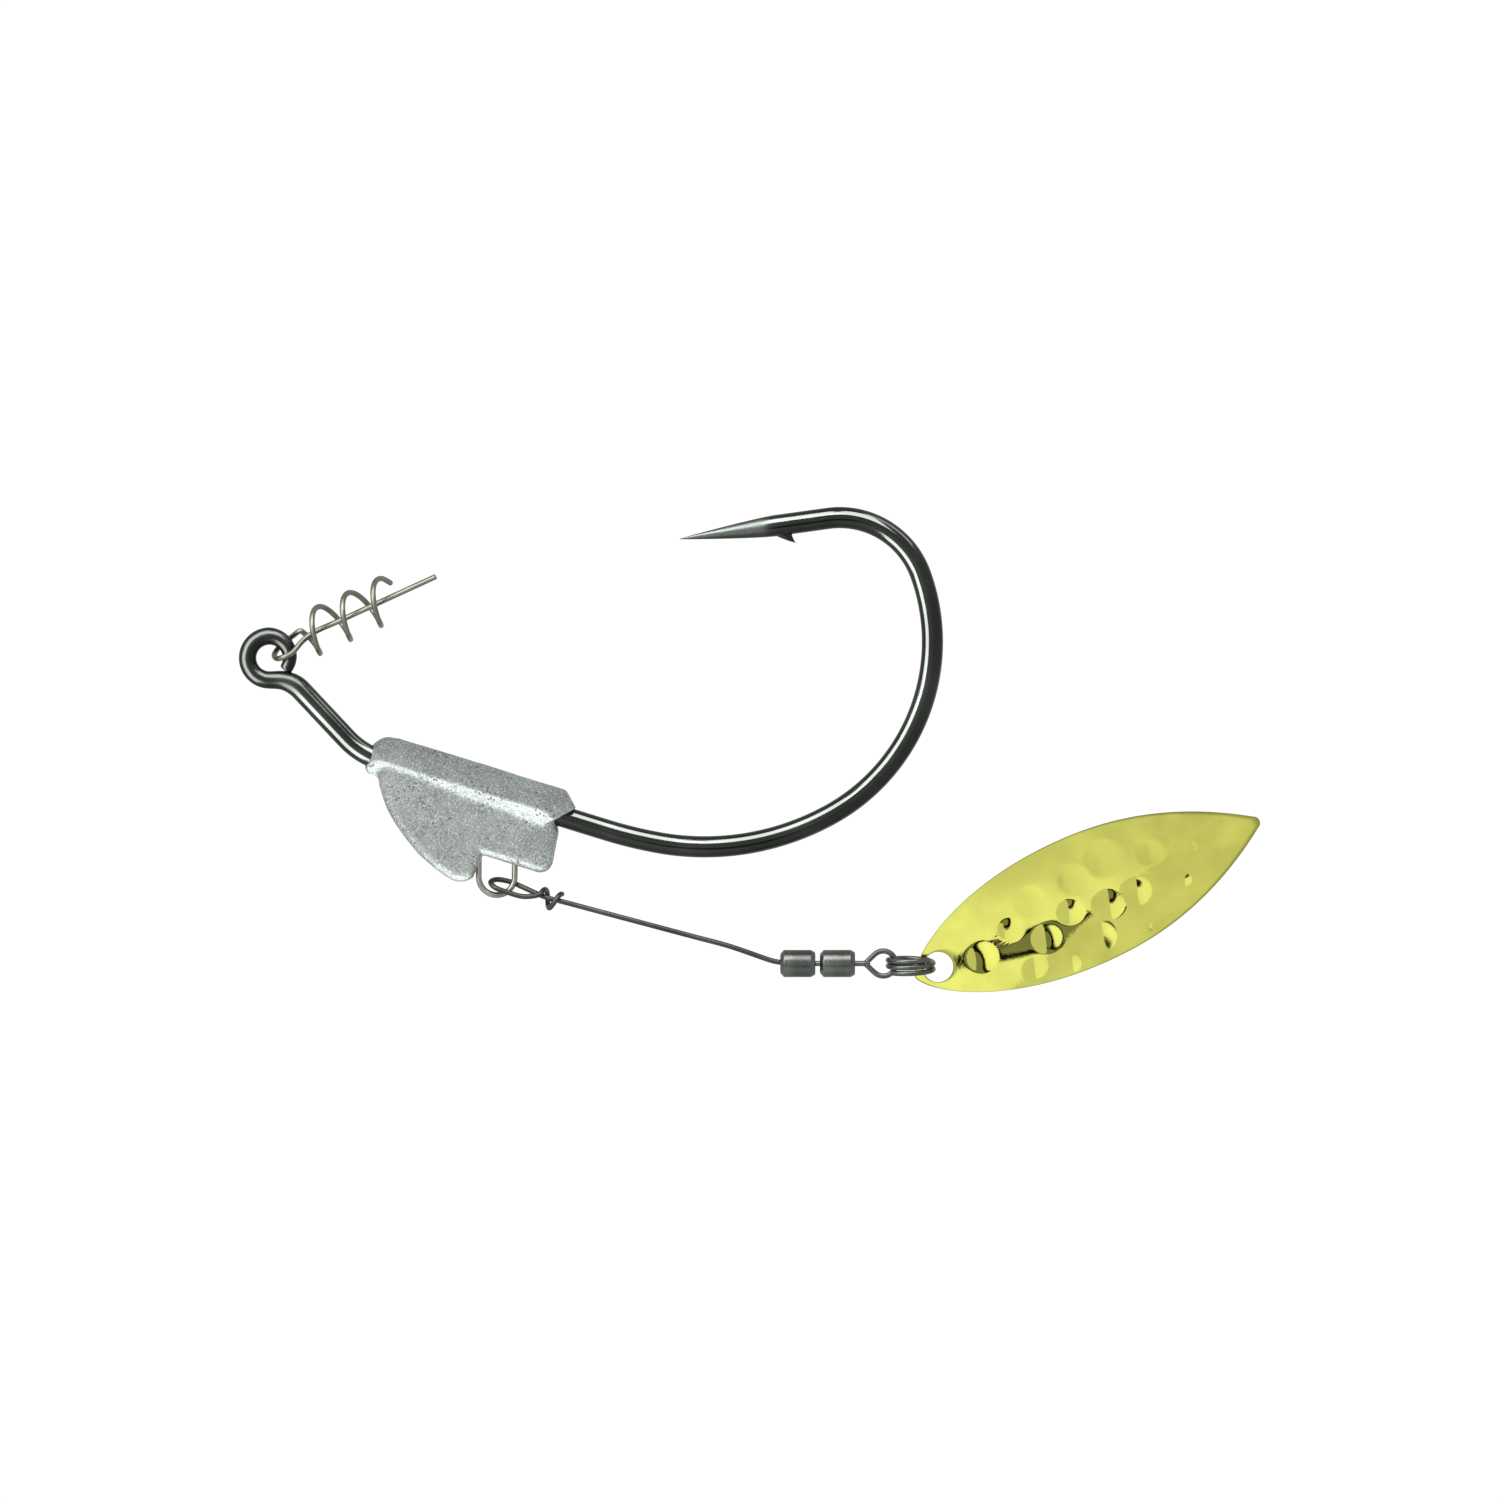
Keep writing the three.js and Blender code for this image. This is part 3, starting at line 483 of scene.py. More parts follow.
def handled_effect(name):
    """Faint handling marks: Haze is a soft noise at Scale per metre, and Fine is a noise twelve
    times finer."""
    group, start, end = effect(name, ("Scale",), ("Haze", "Fine"))
    place = add(group, "ShaderNodeTexCoord").outputs["Object"]
    haze = noise(group, place, start.outputs["Scale"], 3.0)
    group.links.new(ramp(group, haze, 0.35, 0.7), end.inputs["Haze"])
    fine = noise(group, place, times(group, start.outputs["Scale"], 12.0))
    group.links.new(fine, end.inputs["Fine"])
    return group


def drawn_effect(name):
    """Lines that the die leaves along a drawn wire: a noise read on a circle round the wire and
    stretched far along it, so it changes often round the wire and hardly at all along."""
    group, _, end = effect(name, (), ("Lines",))
    uv = add(group, "ShaderNodeSeparateXYZ", {0: add(group, "ShaderNodeUVMap").outputs[0]})
    turn = times(group, uv.outputs[0], 2 * pi)
    across = [times(group, maths(group, wave, turn), 16.0) for wave in ("COSINE", "SINE")]
    place = add(group, "ShaderNodeCombineXYZ",
                {0: across[0], 1: across[1], 2: times(group, uv.outputs[1], 120.0)})
    group.links.new(noise(group, place.outputs[0], 1.0, 4.0, 0.6), end.inputs["Lines"])
    return group


def cast_effect(name):
    """Skin of a sand-like casting: Grain is a fine noise, Pits are the dark hearts of scattered
    cells, deeper in patches, and Blotch is a broad tone."""
    group, _, end = effect(name, (), ("Grain", "Pits", "Blotch"))
    place = add(group, "ShaderNodeTexCoord").outputs["Object"]
    cells = add(group, "ShaderNodeTexVoronoi", {"Vector": place, "Scale": 2300.0})
    patchy = ramp(group, noise(group, place, 420.0, 2.0, 0.62), 0.46, 0.62, 0.12, 0.85)
    heart = ramp(group, cells.outputs["Distance"], 0.38, 0.14)
    group.links.new(times(group, heart, patchy), end.inputs["Pits"])
    group.links.new(noise(group, place, 5200.0, 3.0, 0.62), end.inputs["Grain"])
    group.links.new(noise(group, place, 260.0, 3.0, 0.62), end.inputs["Blotch"])
    return group


def use(tree, name, build, **values):
    """The outputs of a shared group placed in a material. It is built when first used."""
    group = bpy.data.node_groups.get(name) or build(name)
    return add(tree, "ShaderNodeGroup", values, node_tree=group).outputs


def handled(tree, scale):
    """Handling marks in a material, about so many times a metre."""
    return use(tree, "Handled metal", handled_effect, Scale=scale)


def metal(name):
    """A new metallic material, its tree and its shader."""
    material = bpy.data.materials.new(name)
    tree = node_tree(material)
    shader = add(tree, "ShaderNodeBsdfPrincipled", {"Metallic": 1.0})
    add(tree, "ShaderNodeOutputMaterial", {"Surface": shader.outputs[0]})
    return material, tree, shader


def rgba(value):
    """A colour with its alpha."""
    return (*value, 1.0)


def scaled(value, factor):
    """A colour made darker or lighter."""
    return rgba([min(1.0, channel * factor) for channel in value])


def between(tree, factor, value, darker, lighter):
    """A colour that varies from one multiple of itself to another."""
    return blend(tree, factor, scaled(value, darker), scaled(value, lighter))


def finish(tree, shader, tone, rough, height, strength, distance):
    """Joins a colour, a roughness and a bump of a height to the shader."""
    tree.links.new(tone, shader.inputs["Base Color"])
    tree.links.new(rough, shader.inputs["Roughness"])
    bump = add(tree, "ShaderNodeBump",
               {"Height": height, "Strength": strength, "Distance": distance})
    tree.links.new(bump.outputs[0], shader.inputs["Normal"])


def wire_metal(name, base, roughness, lines, haze):
    """Drawn wire: die lines in its height, colour and roughness, and a haze in its colour."""
    material, tree, shader = metal(name)
    worn = handled(tree, 260.0)
    drawn = use(tree, "Drawn wire", drawn_effect)["Lines"]
    tone = between(tree, worn["Haze"], base, 1.0 - haze, 1.0 + haze)
    tone = blend(tree, times(tree, ramp(tree, drawn, 0.3, 0.7), lines), tone, scaled(base, 1.5))
    rough = ramp(tree, drawn, 0.3, 0.7, roughness * 0.8, roughness * 1.25)
    finish(tree, shader, tone, rough, drawn, 0.35, 0.03 * MM)
    return material


# ---------------------------------------------------------------- hook

EYE_TURN = radians(310)     # of the wire round the eye, until it meets the throat
THROAT_RUN = 0.8 * MM       # straight wire under the eye
THROAT = (3.34 * MM, -radians(46.8))
KNEE_RADIUS = 8.2 * MM
KNEE = (KNEE_RADIUS, radians(29.6))

# The bend, from the shank round to the spear, as arcs of (radius, turn).
BEND = ((45 * MM, radians(7.1)), (26.7 * MM, radians(38.8)), (20.2 * MM, radians(81.4)),
        (8.8 * MM, radians(77.8)))


def hook_line(s):
    """The hook's centre line in the side view: a turn of tapering wire round the eye, then the
    throat, leg, knee, shank, bend and spear as straights and arcs. Also gives where the shank
    starts, its heading, the spear's heading and the length of wire in the eye."""
    turn = np.linspace(0, 1, 80, endpoint=False)
    wire = s.tag_wire + (s.eye_wire - s.tag_wire) * np.minimum(1, 2.4 * turn)
    around = radians(270) - EYE_TURN * (1 - turn)
    eye = heading(around) * ((s.eye_hole + wire) / 2)[:, None]
    floor = (-(s.eye_hole + s.eye_wire) / 2, 0.0)
    front, slope = bent_line(floor, 0.0, [(THROAT_RUN, 0), THROAT, (s.leg, 0), KNEE])
    rest, spear = bent_line(front[-1], slope, [(s.shank, 0), *BEND, (s.spear, 0)])
    eye_length = np.linalg.norm(np.diff(eye, axis=0), axis=1).sum()
    line = np.concatenate([eye, front, rest[1:]])
    return line, front[-1], slope, spear, eye_length


def shank_place(s, along, up):
    """A place measured along the shank and square to it, in the side view."""
    _, start, slope, _, _ = hook_line(s)
    return sloped(start, slope, along, up)


def black_nickel(s):
    """Polished black nickel, duller on the wire bent round the eye, where the plate is also
    darkened as painted shade.
    The point is ground: that part is found by its distance back from the tip along the spear,
    and it has fine scratches along it."""
    material, tree, shader = metal("Black nickel")
    worn = handled(tree, 150.0)
    line, _, _, spear, _ = hook_line(s)
    tip = line[-1]
    place = add(tree, "ShaderNodeTexCoord").outputs["Object"]
    parts = add(tree, "ShaderNodeSeparateXYZ", {0: place}).outputs
    up = plus(tree, parts[0], -float(tip[0]))
    along = plus(tree, parts[2], float(tip[1]))
    back = plus(tree, times(tree, up, -sin(spear)), times(tree, along, cos(spear)))
    ground = times(tree, ramp(tree, parts[2], -25 * MM, -33 * MM),
                   ramp(tree, back, s.point * 0.98, s.point * 0.86))
    ground = times(tree, ground, maths(tree, "GREATER_THAN", parts[0], 0.0))
    from_eye = add(tree, "ShaderNodeVectorMath", {0: place}, operation="LENGTH")
    eye_dullness_and_shade = ramp(tree, from_eye.outputs["Value"], 6.0 * MM, 3.5 * MM)
    tone = between(tree, worn["Haze"], s.plate, 0.85, 1.2)
    # Painted shade: the plate is darkened near the eye to dim its reflections there. The extra
    # roughness further down is the duller bent wire.
    tone = blend(tree, eye_dullness_and_shade, tone, scaled(s.plate, 0.62))
    tone = blend(tree, ground, tone, rgba(s.ground))
    rough = plus(tree, times(tree, worn["Haze"], 0.06), s.roughness)
    rough = plus(tree, rough, times(tree, ground, 0.22))
    rough = plus(tree, rough, times(tree, eye_dullness_and_shade, 0.12))
    squeeze = add(tree, "ShaderNodeMapping", {"Vector": place, "Scale": (9000, 9000, 900)})
    scratches = noise(tree, squeeze.outputs[0], 1.0)
    height = plus(tree, times(tree, worn["Fine"], 0.12), times(tree, scratches, ground))
    finish(tree, shader, tone, rough, height, 0.5, 0.02 * MM)
    return material


class BuildHook(bpy.types.Operator):
    """Build the hook: one wire from the eye to the point, and its barb"""
    bl_idname = "lure.build_hook"
    bl_label = "Hook"

    def execute(self, context):
        s = settings(context, "hook")
        line, _, _, spear, eye_length = hook_line(s)

        def radius(at, whole):
            """Tapers up round the eye, swells into the leg, and is ground to the point."""
            eye = s.tag_wire + (s.eye_wire - s.tag_wire) * np.clip(2.4 * at / eye_length, 0, 1)
            swell = np.clip((at - eye_length) / (3.4 * MM), 0, 1)
            full = eye + (s.wire - s.eye_wire) * swell**2 * (3 - 2 * swell)
            left = np.clip((whole - at) / s.point, 0, 1)
            return full / 2 * (1 - (1 - left) ** 1.25) + 0.05 * MM

        wire = wire_shell(flat(line), radius, spacing=0.26 * MM, sides=36,
                          ends=(0.25 * MM, 0.04 * MM))
        tip = line[-1]
        back, inward = heading(spear + pi), heading(spear + pi / 2)
        barb_tip = tip + back * s.barb_setback + inward * (s.wire / 2 + s.barb_rise)
        root = tip + back * (s.barb_setback - 2.5 * MM) + inward * s.wire * 0.3
        heel = tip + back * (s.barb_setback - 0.2 * MM) + inward * s.wire * 0.2
        t = np.linspace(0, 1, 14)[:, None]
        front = root + (barb_tip - root) * t + inward * 0.10 * MM * np.sin(pi * t)
        rear = heel + (barb_tip - heel) * t - back * 0.16 * MM * np.sin(pi * t)
        middle, half = (front + rear) / 2, np.linalg.norm(front - rear, axis=1)[:, None] / 2
        aim = (rear - front) / np.maximum(2 * half, 1e-9)
        turn = np.linspace(0, 2 * pi, 20, endpoint=False)[None]
        flatness = 0.42 * MM * (1 - t) + 0.03 * MM
        side = middle[:, None] + aim[:, None] * (half * np.cos(turn))[..., None]
        barb = shell(np.dstack([side, flatness * np.sin(turn)]))
        uv = np.vstack([wire[2], np.zeros((len(barb[0]), 2))])
        add_piece("hook", [wire[:2], barb], black_nickel(s), "hook_and_weight", "hook",
                  uv)
        return {"FINISHED"}


# ---------------------------------------------------------------- belly weight

def soft_max(a, b, k):
    """The larger of two fields, with the edge between them rounded over a width k."""
    near = np.maximum(k - np.abs(a - b), 0) / k
    return np.maximum(a, b) + near**2 * k / 4


def outline_field(outline, along, up):
    """Signed distance in the side view to a closed outline: the least distance to any of its
    edges, negative where a line sideways crosses it an odd number of times."""
    a = outline
    b = np.roll(outline, -1, 0)
    px, py = along[..., None], up[..., None]
    edge = b - a
    t = ((px - a[:, 0]) * edge[:, 0] + (py - a[:, 1]) * edge[:, 1]) / (edge**2).sum(1)
    t = np.clip(t, 0, 1)
    far = np.hypot(px - a[:, 0] - t * edge[:, 0], py - a[:, 1] - t * edge[:, 1]).min(-1)
    crosses = (a[:, 1] > py) != (b[:, 1] > py)
    steep = np.where(edge[:, 1] == 0, 1e-12, edge[:, 1])
    hit = px < a[:, 0] + (py - a[:, 1]) * edge[:, 0] / steep
    inside = (crosses & hit).sum(-1) % 2 == 1
    return np.where(inside, -far, far)


def lumps(axes, size, seed):
    """A smooth random field over a box: seeded values on a coarse lattice, blended by cubic
    B-spline weights along each axis."""
    mixes = []
    for axis in axes:
        at = (axis - axis[0]) / size
        cell = np.arange(int(at[-1]) + 4) - 1
        x = np.abs(at[:, None] - cell)
        near, far = 2 / 3 - x**2 + x**3 / 2, (2 - x) ** 3 / 6
        mixes.append(np.where(x < 1, near, np.where(x < 2, far, 0)))
    lattice = np.random.default_rng(seed).normal(size=[m.shape[1] for m in mixes])
    return np.einsum("ia,jb,kc,abc->ijk", *mixes, lattice, optimize=True)


def skin(field, axes):
    """The zero surface of a field on a grid: one vertex in each cell the surface passes, at the
    mean of where it crosses the cell's edges, and one quad round each crossed grid edge."""
    inside = field < 0
    total = np.zeros(tuple(n - 1 for n in field.shape) + (3,))
    count = np.zeros(tuple(n - 1 for n in field.shape))
    crossings = []
    for axis in range(3):
        here = [slice(None)] * 3
        there = [slice(None)] * 3
        here[axis], there[axis] = slice(None, -1), slice(1, None)
        a, b = field[tuple(here)], field[tuple(there)]
        crossed = inside[tuple(here)] != inside[tuple(there)]
        crossings.append((crossed, inside[tuple(here)]))
        t = np.where(crossed, a / np.where(crossed, a - b, 1), 0)
        others = [i for i in range(3) if i != axis]
        for first in (0, 1):
            for second in (0, 1):
                pick = [slice(None)] * 3
                for i, offset in zip(others, (first, second)):
                    pick[i] = slice(offset, offset + total.shape[i])
                hit = crossed[tuple(pick)]
                count += hit
                total[..., axis] += np.where(hit, t[tuple(pick)], 0)
                total[..., others[0]] += hit * first
                total[..., others[1]] += hit * second
    used = count > 0
    index = np.full(used.shape, -1)
    index[used] = np.arange(used.sum())
    cells = np.argwhere(used)
    steps = np.array([axis[1] - axis[0] for axis in axes])
    starts = np.array([axis[0] for axis in axes])
    vertices = starts + (cells + total[used] / count[used][:, None]) * steps
    quads = []
    for axis, (crossed, below) in enumerate(crossings):
        one, two = [(1, 2), (2, 0), (0, 1)][axis]
        at = np.argwhere(crossed)
        at = at[(at[:, one] > 0) & (at[:, two] > 0)]
        corner = []
        for d_one, d_two in ((1, 1), (0, 1), (0, 0), (1, 0)):
            cell = at.copy()
            cell[:, one] -= d_one
            cell[:, two] -= d_two
            corner.append(index[tuple(cell.T)])
        quad = np.stack(corner, -1)
        out = below[tuple(at.T)]
        quads.append(np.where(out[:, None], quad, quad[:, ::-1]))
    return vertices, np.concatenate(quads)


def relaxed(vertices, quads, rounds=3, amount=0.5):
    """Each vertex is moved part of the way to the mean of its neighbours, and then back out a
    little less, which smooths the grid's steps without shrinking the shape."""
    a = quads.ravel()
    b = np.roll(quads, -1, 1).ravel()
    number = len(vertices)
    links = np.bincount(a, minlength=number) + np.bincount(b, minlength=number)
    for step in (amount, -amount * 1.03) * rounds:
        mean = np.stack([(np.bincount(a, vertices[b, i], number)
                          + np.bincount(b, vertices[a, i], number)) / links
                         for i in range(3)], -1)
        vertices = vertices + step * (mean - vertices)
    return vertices


# Along the shank from its start: the casting's nose, and from the nose to the keel's notch.
NOSE_AT, NOTCH_AT = -1.55 * MM, 14.4 * MM
NOSE_RADIUS = 2.5 * MM
SHOULDER = 1.5 * MM         # depth of the sloping shoulders below the top


def weight_outline(s):
    """The keel's outline as (along, up) from the shank: a curved front, a low corner, a notch
    for the weight loop and a heel with a round rear corner."""
    start = NOSE_AT
    tail = start + s.body_length
    notch, corner = start + NOTCH_AT, start + 12.9 * MM
    t = np.linspace(0, 1, 16)[:, None]
    p = np.array([(start + 1.7 * MM, -1.4 * MM), (start + 2.6 * MM, -4.6 * MM),
                  (start + 7.2 * MM, -s.keel_depth * 0.875), (corner - 0.9 * MM, -s.keel_depth)])
    front = ((1 - t) ** 3 * p[0] + 3 * t * (1 - t) ** 2 * p[1]
             + 3 * t**2 * (1 - t) * p[2] + t**3 * p[3])
    q = np.array([p[3], (corner + 0.4 * MM, -s.keel_depth - 0.1 * MM),
                  (notch - 0.35 * MM, -s.keel_depth + 0.9 * MM)])
    low = (1 - t) ** 2 * q[0] + 2 * t * (1 - t) * q[1] + t**2 * q[2]
    heel = 1.3 * MM
    turn = np.linspace(0, pi / 2, 10)
    back = np.stack([tail - 0.6 * MM - heel + heel * np.sin(turn),
                     -s.heel_depth + heel - heel * np.cos(turn)], -1)
    return np.vstack([[(start + 2 * MM, 0.8 * MM)], front[:-1], low,
                      [(notch, -s.heel_depth)], back,
                      [(tail - 1 * MM, -1.6 * MM), (tail - 2.2 * MM, 0.8 * MM)]])


def weight_field(s, hook, axes):
    """Nearly the signed distance to the casting, by places along, above and across the shank.
    The body is the space inside a set of planes: V-shaped below, with sloping sides and
    shoulders above, a round nose, a cut-back tail and two tail chamfers. The keel is a bevelled
    plate. They are joined with a fillet, and the shank's hole is taken out."""
    along, up, across = np.meshgrid(*axes, indexing="ij", sparse=True)
    start = NOSE_AT
    tail = start + s.body_length
    side = np.abs(across)
    grow = s.front_width / s.rear_width
    half = s.rear_width / 2 * (grow + (1 - grow) * np.clip((along - start) / s.body_length, 0, 1))
    edge_round = 0.28 * MM
    shoulder = s.body_top - SHOULDER

    # The V below, the walls that lean in, the shoulders and the flat top.
    lower = (side - up - half) / sqrt(2)
    wall = side - half * (1 - 0.18 * np.maximum(up, 0) / shoulder)
    fall = 0.52 * half
    slope = (SHOULDER * (side - 0.82 * half) + fall * (up - shoulder)) / np.hypot(SHOULDER, fall)
    top = up - s.body_top
    body = soft_max(soft_max(lower, wall, edge_round),
                    soft_max(slope, top + 0 * side, edge_round), edge_round)

    # The round nose, drawn in a little from the sides.
    ahead = np.maximum(start + NOSE_RADIUS - along, 0)
    over = np.maximum(up - (s.body_top - NOSE_RADIUS), 0)
    under = np.maximum(-(up + 0.2 * MM), 0) * 0.95
    wide = side * np.where(ahead > 0, 1.25, 0)
    nose = np.sqrt(ahead**2 + over**2 + under**2 + wide**2) - NOSE_RADIUS
    body = soft_max(body, np.where(ahead > 0, nose, -NOSE_RADIUS), edge_round)

    # The tail: cut back below the shoulder, bevelled above it and chamfered at the sides.
    rise = tan(radians(35)) * 2 * s.body_top / (shoulder + s.body_top)
    rear = ((along - tail) - rise * (up - shoulder)) / np.hypot(1, rise)
    crown = ((up - s.body_top) + (along - (tail - SHOULDER))) / sqrt(2)
    taper = radians(25)
    chamfer = ((side - s.rear_width / 2) * cos(taper)
               + (along - (tail - 3.4 * MM)) * sin(taper))
    body = soft_max(body, soft_max(rear, crown, edge_round) + 0 * side, edge_round * 0.7)
    body = soft_max(body, chamfer + 0 * up, edge_round * 0.7)

    flat_along, flat_up = np.meshgrid(axes[0], axes[1], indexing="ij")
    edge = outline_field(weight_outline(s), flat_along, flat_up)[:, :, None]
    face = side - s.keel_thickness / 2
    bevel = (edge + face + s.keel_bevel) / sqrt(2)
    keel = soft_max(soft_max(edge + 0 * face, face + 0 * edge, 0.25 * MM), bevel, 0.3 * MM)
    field = -soft_max(-body, -keel, s.fillet * 2)
    for size, seed, share_of_height in ((1.7 * MM, 5, 0.75), (0.55 * MM, 11, 0.45)):
        field = field + s.waviness * lumps(axes, size, seed) * share_of_height

    # The shank's hole. Ahead of the shank's start the wire sinks away round the knee.
    sink = np.where(along < 0, along**2 / (2 * KNEE_RADIUS), 0)
    shank = hook.wire / 2 + 0.05 * MM - np.hypot(up - sink, across)
    return np.maximum(field, shank)


def loop_line(s, hook):
    """The weight loop's wire: down, half round and back up, with its legs cast in. Also gives
    the loop's centre and radius."""
    radius = (s.loop_width - s.loop_wire) / 2
    roof = shank_place(hook, NOSE_AT + NOTCH_AT + 1.45 * MM, -s.heel_depth)
    centre = np.array([roof[0] - 1.8 * MM, roof[1]])
    drop = 4.2 * MM
    points, _ = bent_line((centre[0] + drop, centre[1] - radius), -pi / 2,
                          [(drop, 0), (radius, pi), (drop, 0)])
    return points, centre, radius


def cast_lead(s):
    """Bare cast lead: grey with a fine grain, dark pits in patches, and painted sparkle highlights
    on the grain's high spots.
    """
    material, tree, shader = metal("Cast lead")
    skin_ = use(tree, "Cast skin", cast_effect)
    grain, pits, blotch = skin_["Grain"], skin_["Pits"], skin_["Blotch"]
    tone = between(tree, ramp(tree, blotch, 0.3, 0.7), s.lead, 0.78, 1.14)
    # Painted highlight: the grain's high spots are lightened as sparkle. On the next line the
    # grain's low spots are made darker.
    tone = blend(tree, ramp(tree, grain, 0.5, 0.72), tone, scaled(s.lead, 1.75))
    tone = blend(tree, times(tree, ramp(tree, grain, 0.48, 0.32), 0.5), tone, rgba(s.pits))
    tone = blend(tree, pits, tone, rgba(s.pits))
    rough = ramp(tree, blotch, 0.3, 0.75, s.roughness * 0.82, s.roughness * 1.2)
    height = maths(tree, "SUBTRACT", grain, times(tree, pits, 1.3))
    finish(tree, shader, tone, rough, height, 0.7, 0.08 * MM)
    return material


class BuildWeight(bpy.types.Operator):
    """Build the belly weight cast round the shank, and the wire loop cast into its notch"""
    bl_idname = "lure.build_weight"
    bl_label = "Belly weight"

    def execute(self, context):
        s, hook = settings(context, "weight"), settings(context, "hook")
        margin = 0.35 * MM
        lows = (NOSE_AT - margin, -s.keel_depth - 2 * margin, -s.rear_width / 2 - margin)
        highs = (NOSE_AT + s.body_length + margin, s.body_top + margin,
                 s.rear_width / 2 + margin)
        axes = [np.arange(low, high + s.grain, s.grain) for low, high in zip(lows, highs)]
        vertices, quads = skin(weight_field(s, hook, axes), axes)
        vertices = relaxed(vertices, quads)
        along, up, across = vertices.T
        casting = (np.column_stack([shank_place(hook, along, up), across]), quads.tolist())
        add_piece("casting", [casting], cast_lead(s), "hook_and_weight", "belly_weight")
        line, _, _ = loop_line(s, hook)
        wire = wire_shell(flat(line), s.loop_wire / 2, spacing=0.16 * MM, sides=24)
        bright = wire_metal("Bright wire", s.loop_steel, s.loop_roughness, 0.2, 0.25)
        add_piece("weight_loop", [wire[:2]], bright, "hook_and_weight", "weight_loop",
                  wire[2])
        return {"FINISHED"}


# ---------------------------------------------------------------- bait keeper

class BuildKeeper(bpy.types.Operator):
    """Build the bait keeper: a straight pin, a loop through the eye and a coil round the pin"""
    bl_idname = "lure.build_keeper"
    bl_label = "Bait keeper"

    def execute(self, context):
        s, hook = settings(context, "keeper"), settings(context, "hook")
        base = np.array([2.38, 4.08]) * MM      # side-view place of the pin's inner end
        pivot = -2.6 * MM                       # along the pin, where it leans from
        reach, sag = 4.2 * MM, 1.0 * MM         # of the loop through the hook's eye
        coil_start = 1.05 * MM                  # radius of the coil where it begins

        def place(along, up, across):
            """Places along the pin, square to it and across the lure, leant about the loop."""
            along, up, across = np.broadcast_arrays(along, up, across)
            far = along - pivot
            leant = pivot + far * cos(s.lean) + across * sin(s.lean)
            side = across * cos(s.lean) - far * sin(s.lean)
            return np.column_stack([sloped(base, s.slope, leant, up), side])

        side = hook.eye_wire / 2 + s.wire / 2 + 0.2 * MM
        loop = np.array([
            (0.5, 0, 0), (-0.8, -0.35, -0.35), (-2.1, -1, -0.88), (-3.1, -1, -1),
            (0.35, -0.85, -0.62), (0, -0.4, 0), (0.45, 0.1, 0.66), (-3.0, 0.4, 1),
            (-2.0, 0.6, 1), (-0.9, 0.75, 0.85)])
        along = loop[:, 0] * MM
        along[4:7] -= reach
        up = loop[:, 1] * np.where(np.arange(10) < 6, sag, MM)
        knots = place(along, up, loop[:, 2] * side)
        turn = np.radians(np.arange(75, 180 + 360 * s.turns, 18.0))
        turn = np.append(turn[:-1], radians(180 + 360 * s.turns))
        grown = np.clip((np.degrees(turn) - 15) / 175, 0, 1)
        grown = grown**2 * (3 - 2 * grown)
        ring = coil_start + ((s.coil_width - s.wire) / 2 - coil_start) * grown
        coil = place(0.33 * MM + s.pitch * (turn - pi) / (2 * pi), ring * np.cos(turn),
                     ring * np.sin(turn))
        pin = place(np.array([s.pin, s.pin * 0.75, s.pin * 0.5, s.pin * 0.25]), 0.0, 0.0)
        line = smooth_line(np.vstack([pin, knots, coil]))
        wire = wire_shell(line, s.wire / 2, ends=(0.06 * MM, 0.09 * MM))
        steel = wire_metal("Keeper steel", s.steel, s.roughness, 0.3, 0.22)
        add_piece("keeper", [wire[:2]], steel, "keeper", "bait_keeper",
                  wire[2])
        return {"FINISHED"}


# ---------------------------------------------------------------- spinner arm and swivel

ARM_LOOP = 3.6 * MM         # from the arm's start to the widest place of its loop
ARM_SIDE = 0.65 * MM        # of the arm's line below the weight loop's centre
ARM_HANG = 0.78             # share of the weight loop's radius that the arm's loop hangs back
ARM_LOOP_REACH = 1.033      # the loop's nose beyond its widest place, in weight loop radii
TAG_START, TAG_END = -0.22, 1.02    # turns of the tag end round the arm
TAG_PITCH = 1.75 * MM
HEAD_BALL = 0.65 * MM       # radius of the arm's head inside the front barrel
HEAD_BACK = 0.7 * MM        # of the head's face behind the front of the barrel


def arm_places(context):
    """Where the arm starts and ends in the side view, and where the swivel's parts begin."""
    s, swivel = settings(context, "arm"), settings(context, "swivel")
    weight, hook = settings(context, "weight"), settings(context, "hook")
    _, centre, radius = loop_line(weight, hook)
    down = heading(-s.slope)
    start = (centre - heading(-s.slope + pi / 2) * ARM_SIDE
             + down * (ARM_LOOP + radius * ARM_HANG))
    end = start + down * s.reach - (s.droop, 0)
    front = end[1] + s.wire
    rear = front + swivel.barrel_length + swivel.barrel_gap
    return start, end, front, rear


